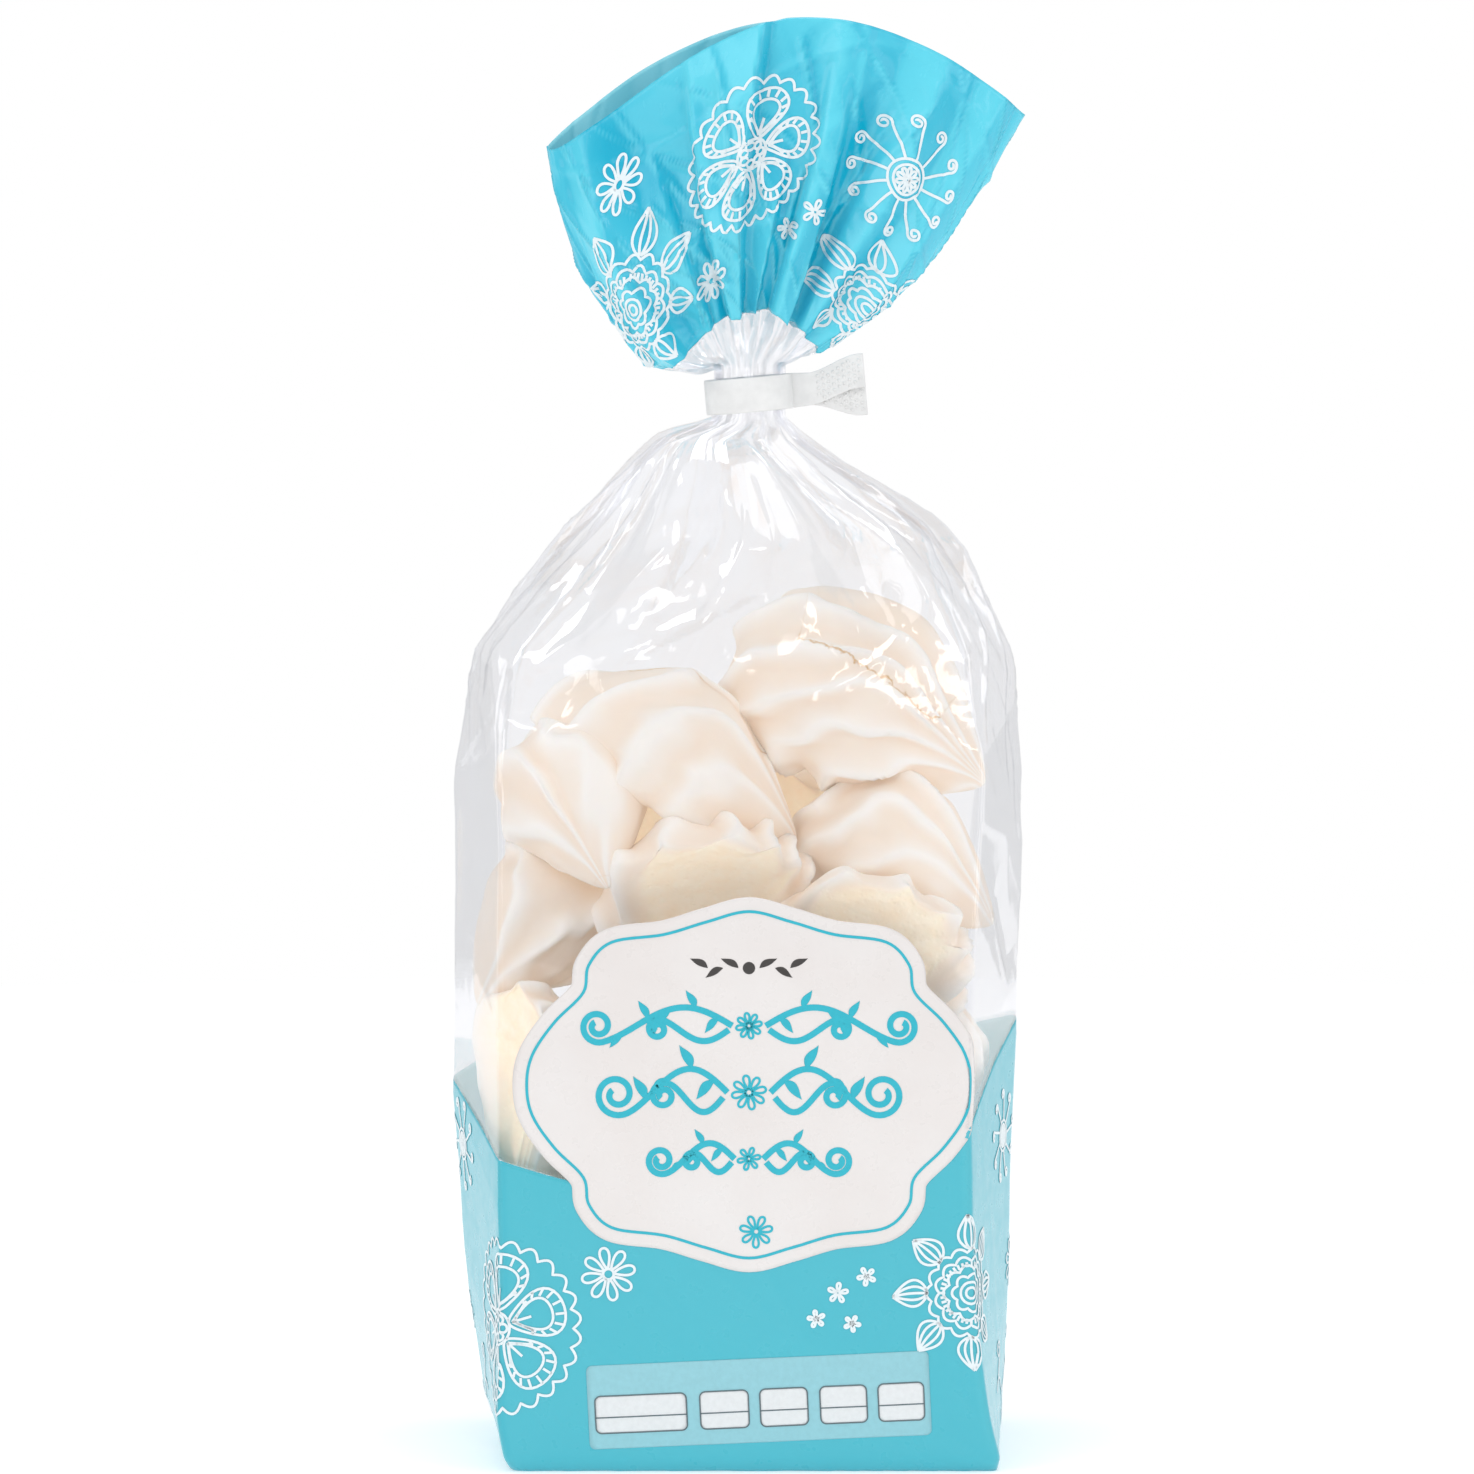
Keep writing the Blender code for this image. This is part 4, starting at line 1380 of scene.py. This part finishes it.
panel = {
    "middle": (4.0, 15.6),
    "size": (71.8, 18.0),
    "tilt": math.radians(2.6),
    "corner": 1.2,
    "cornerPoints": 6,
    "step": 1.2,
    # each box's left and right side from the panel's middle
    "boxes": ((-34.4, -15.2), (-12.4, -2.2), (0.2, 10.2), (12.8, 22.6), (25.0, 34.6)),
    "boxLow": -5.6,
    "boxHigh": 2.4,
    "boxSplit": -2.2,
    "lineWidth": 0.26,
    "lift": 0.1,
    "boxLift": 0.15,
    "lineLift": 0.19,
}


def roundedCorners(left, right, low, high, corner, count):
    # the outline of a box, with count points round each corner
    points = []
    left, right, low, high = left + corner, right - corner, low + corner, high - corner
    for quarter, (x, y) in enumerate(((right, high), (left, high), (left, low), (right, low))):
        for turn in np.linspace(quarter, quarter + 1, count) * math.pi / 2:
            points.append((x + corner * math.cos(turn), y + corner * math.sin(turn)))
    return np.array(points)


def onPanel(points):
    return turned(points, *panel["middle"], panel["tilt"])


def panelBox(left, right, low, high):
    # more points along the straight sides, so that the patch follows the film
    outline = roundedCorners(left, right, low, high, panel["corner"], panel["cornerPoints"])
    even = []
    for start, end in zip(outline, np.roll(outline, -1, axis=0)):
        parts = max(1, int(np.linalg.norm(end - start) / panel["step"]))
        even += [start + (end - start) * part / parts for part in range(parts)]
    return onPanel(even)


halfWide, halfHigh = panel["size"][0] / 2, panel["size"][1] / 2
ground = panelBox(-halfWide, halfWide, -halfHigh, halfHigh)
makePatches("panel", [ground], panelInk, panel["lift"], 24)
boxLines = []
for number, (left, right) in enumerate(panel["boxes"]):
    box = panelBox(left, right, panel["boxLow"], panel["boxHigh"])
    makePatches("panel_box_" + str(number + 1), [box], boxInk, panel["boxLift"], 8)
    split = np.stack([np.linspace(left, right, 12), np.full(12, panel["boxSplit"])], axis=-1)
    boxLines += [(box, True), (onPanel(split), False)]
lines = frontLines(boxLines)
drawLines("panel_box_lines", lines, darkInk, panel["lineWidth"], panel["lineLift"])


# Clip band

clip = {
    "middle": (2.0, 0.0, 225.4),
    "tilt": math.radians(-5.0),
    "loopHalf": (9.4, 6.7),
    "halfHeight": 3.7,
    "thickness": 1.0,
    "corner": 0.28,
    "tailFrom": 8.2,
    "tailWaist": 14.0,
    "tailTo": 24.8,
    "waistHalf": 3.45,
    "tipHigh": 6.6,
    "tipLow": -0.6,
    "tailThickness": 0.9,
    "tailOffset": 0.42,
    "tailBevel": 0.12,
    "dotRadius": 0.4,
    "dotSpacing": 1.3,
    # how far the columns of dots stand apart, as a share of their spacing, and where they start
    "dotColumns": 0.86,
    "dotStart": 0.8,
    "dotEnd": 0.6,
    "dotMargin": 0.7,
    "loopParts": 96,
    "cornerPoints": 5,
    "plateSquares": (44, 22),
}


def bandLoop():
    # a rounded rectangular section swept round an oval
    count, halfHigh, thick = clip["loopParts"], clip["halfHeight"], clip["thickness"]
    section = roundedCorners(0.0, thick, -halfHigh, halfHigh, clip["corner"], clip["cornerPoints"])
    points, faces = [], []
    halfWide, halfDeep = clip["loopHalf"]
    for k in range(count):
        turn = 2.0 * math.pi * k / count
        for out, high in section:
            inset = thick - out
            points.append(((halfWide - inset) * math.cos(turn), (halfDeep - inset) * math.sin(turn), high))
    size = len(section)
    for k in range(count):
        for s in range(size):
            after, beside = (k + 1) % count, (s + 1) % size
            faces.append((k * size + s, after * size + s, after * size + beside, k * size + beside))
    return points, faces


def tailEdges(x):
    # how far up and down the upward end reaches at x
    flare = float(smoothStep(clip["tailWaist"] - 1.5, clip["tailTo"] - 1.0, x))
    narrow = float(smoothStep(clip["tailFrom"], clip["tailWaist"], x))
    waist = clip["halfHeight"] + (clip["waistHalf"] - clip["halfHeight"]) * narrow
    return waist + (clip["tipHigh"] - waist) * flare, (clip["tipLow"] + waist) * flare - waist


def tailMiddle(x, side):
    # the two ends lie against each other and part a little towards their tips
    parting = float(smoothStep(clip["tailWaist"], clip["tailTo"], x))
    return -side * (clip["tailOffset"] + 0.5 * parting) + 0.12 * math.sin(x * 1.1 + side) * parting


def tailPlate(side):
    # one crimped end as a plate of even squares, spreading up for side 1 and down for side -1
    columns, rows = clip["plateSquares"]
    points, faces = [], []
    for i in range(columns + 1):
        x = clip["tailFrom"] + (clip["tailTo"] - clip["tailFrom"]) * i / columns
        high, low = tailEdges(x)
        for j in range(rows + 1):
            z = low + (high - low) * j / rows
            points.append((x, tailMiddle(x, side), z * side))
    for i in range(columns):
        for j in range(rows):
            a = i * (rows + 1) + j
            faces.append((a, a + 1, a + rows + 2, a + rows + 1))
    return points, faces


def makeDotTree():
    tree, spots, value = newTree("crimp_dots", ("Radius",))
    points = addNode(tree, "GeometryNodeMeshToPoints", {"Mesh": spots})
    ball = addNode(tree, "GeometryNodeMeshUVSphere", {"Segments": 8, "Rings": 5, "Radius": value["Radius"]})
    spread = addNode(tree, "GeometryNodeInstanceOnPoints", {
        "Points": points.outputs[0], "Instance": ball.outputs["Mesh"], "Scale": (1.0, 0.5, 1.0),
    })
    endTree(tree, spread.outputs[0], clipPlastic)
    return tree


def dotSpots(side):
    # staggered columns of dots on both faces of one end
    step, margin = clip["dotSpacing"], clip["dotMargin"]
    spots = []
    for i in range(20):
        x = clip["tailWaist"] + clip["dotStart"] + i * step * clip["dotColumns"]
        if x > clip["tailTo"] - clip["dotEnd"]:
            break
        high, low = tailEdges(x)
        for j in range(-10, 11):
            z = (j + 0.5 * (i % 2)) * step
            if low + margin < z * side < high - margin:
                for face in (-1, 1):
                    spots.append((x, tailMiddle(x, side) + face * clip["tailThickness"] / 2, z))
    return spots


def makeClip():
    place = Matrix.Translation(Vector(clip["middle"]) * mm) @ Matrix.Rotation(clip["tilt"], 4, "Y")
    loop = meshObject("clip_loop", *bandLoop(), (clipPlastic,))
    faceOutwards(loop.data)
    pieces, ends = [loop], {"up": 1, "down": -1}
    for label, side in ends.items():
        end = meshObject("clip_end_" + label, *tailPlate(side), (clipPlastic,))
        faceOutwards(end.data)
        wall(end, clip["tailThickness"], offset=0.0)
        bevel = end.modifiers.new("edges", "BEVEL")
        bevel.width = clip["tailBevel"] * mm
        bevel.segments = 2
        bevel.limit_method = "ANGLE"
        pieces.append(applyModifiers(end))
    for label, side in ends.items():
        dots = meshObject("clip_dots_" + label, dotSpots(side))
        pieces.append(runTree(dots, makeDotTree(), {"Radius": clip["dotRadius"] * mm}))
    for piece in pieces:
        piece.data.transform(place)
        finishPiece(piece, "clip" if piece is loop else None)


print("clip")
makeClip()


# Floor, lights and camera

stage = {
    "floorRadius": 1000.0,
    "floorCorners": 96,
    "floorGlow": 0.32,
    "aim": (0.0, 0.0, 0.14),
    # where each lamp stands, its width and height, and its power
    "lamps": {
        "key": ((-0.85, -1.0, 0.75), (0.85, 1.1), 3.8),
        "fill": ((1.0, -0.8, 0.45), (0.6, 1.0), 2.3),
        "top": ((0.0, -0.15, 1.1), (0.7, 0.35), 2.2),
        "strip_left": ((-0.36, -1.15, 0.30), (0.05, 0.8), 0.32),
        "strip_right": ((0.48, -1.1, 0.26), (0.05, 0.8), 0.32),
        "strip_high": ((0.25, -0.9, 0.95), (0.5, 0.1), 0.5),
        "side_left": ((-0.9, 0.2, 0.35), (0.5, 0.8), 0.8),
        "side_right": ((0.9, 0.2, 0.35), (0.5, 0.8), 0.8),
    },
    "worldLight": 0.71,
}


def makeFloor():
    floor = paint("paper_floor")
    grain = floor.mottle(floor.coordinates("Object", (1.0, 1.0, 1.0)), 40.0, 3.0)
    floor.shade({
        "Base Color": floor.blend(grain, (0.86, 0.86, 0.865), (0.88, 0.88, 0.885)),
        "Roughness": 0.8,
        "Emission Color": (1.0, 1.0, 1.0, 1.0),
        "Emission Strength": stage["floorGlow"],
    })
    corners = stage["floorCorners"]
    points = [(x, y, 0.0) for x, y in circleLine(0.0, 0.0, stage["floorRadius"], corners)]
    meshObject("floor", points, [range(corners)], (floor.material,))


def aimFrom(obj, spot, direction):
    obj.location = spot
    obj.rotation_euler = direction.to_track_quat("-Z", "Y").to_euler()


def makeLights():
    for name, (spot, size, power) in stage["lamps"].items():
        lamp = bpy.data.lights.new(name, "AREA")
        lamp.shape = "RECTANGLE"
        lamp.size, lamp.size_y = size
        lamp.energy = power
        aimFrom(addObject(name, lamp), spot, Vector(stage["aim"]) - Vector(spot))


def makeWorld():
    world = bpy.data.worlds.new("soft_white")
    bpy.context.scene.world = world
    world.use_nodes = True
    tree = world.node_tree
    light = tree.nodes["Background"]
    fillInputs(tree, light, {"Color": (0.975, 0.985, 1.0, 1.0), "Strength": stage["worldLight"]})
    # behind the object the world is plain white
    white = addNode(tree, "ShaderNodeBackground", {"Color": (1.0, 1.0, 1.0, 1.0)})
    path = addNode(tree, "ShaderNodeLightPath")
    mix = addNode(tree, "ShaderNodeMixShader", {
        0: path.outputs["Is Camera Ray"], 1: light.outputs[0], 2: white.outputs[0],
    })
    fillInputs(tree, tree.nodes["World Output"], {"Surface": mix.outputs[0]})


def makeCamera():
    view = {"lens": 190.0, "distance": 1.66, "elevation": math.radians(4.0), "aim": (-0.0006, 0.0, 0.1523)}
    camera = bpy.data.cameras.new("camera")
    camera.lens = view["lens"]
    camera.sensor_width = 36.0
    camera.clip_start = 0.01
    obj = addObject("camera", camera)
    away = Vector((0.0, -math.cos(view["elevation"]), math.sin(view["elevation"])))
    aimFrom(obj, Vector(view["aim"]) + away * view["distance"], -away)
    bpy.context.scene.camera = obj


print("stage")
makeFloor()
makeLights()
makeWorld()
makeCamera()
scene = bpy.context.scene
scene.view_settings.view_transform = "Standard"
scene.cycles.transparent_max_bounces = 40
scene.cycles.max_bounces = 10
scene.cycles.diffuse_bounces = 5
scene.cycles.glossy_bounces = 5
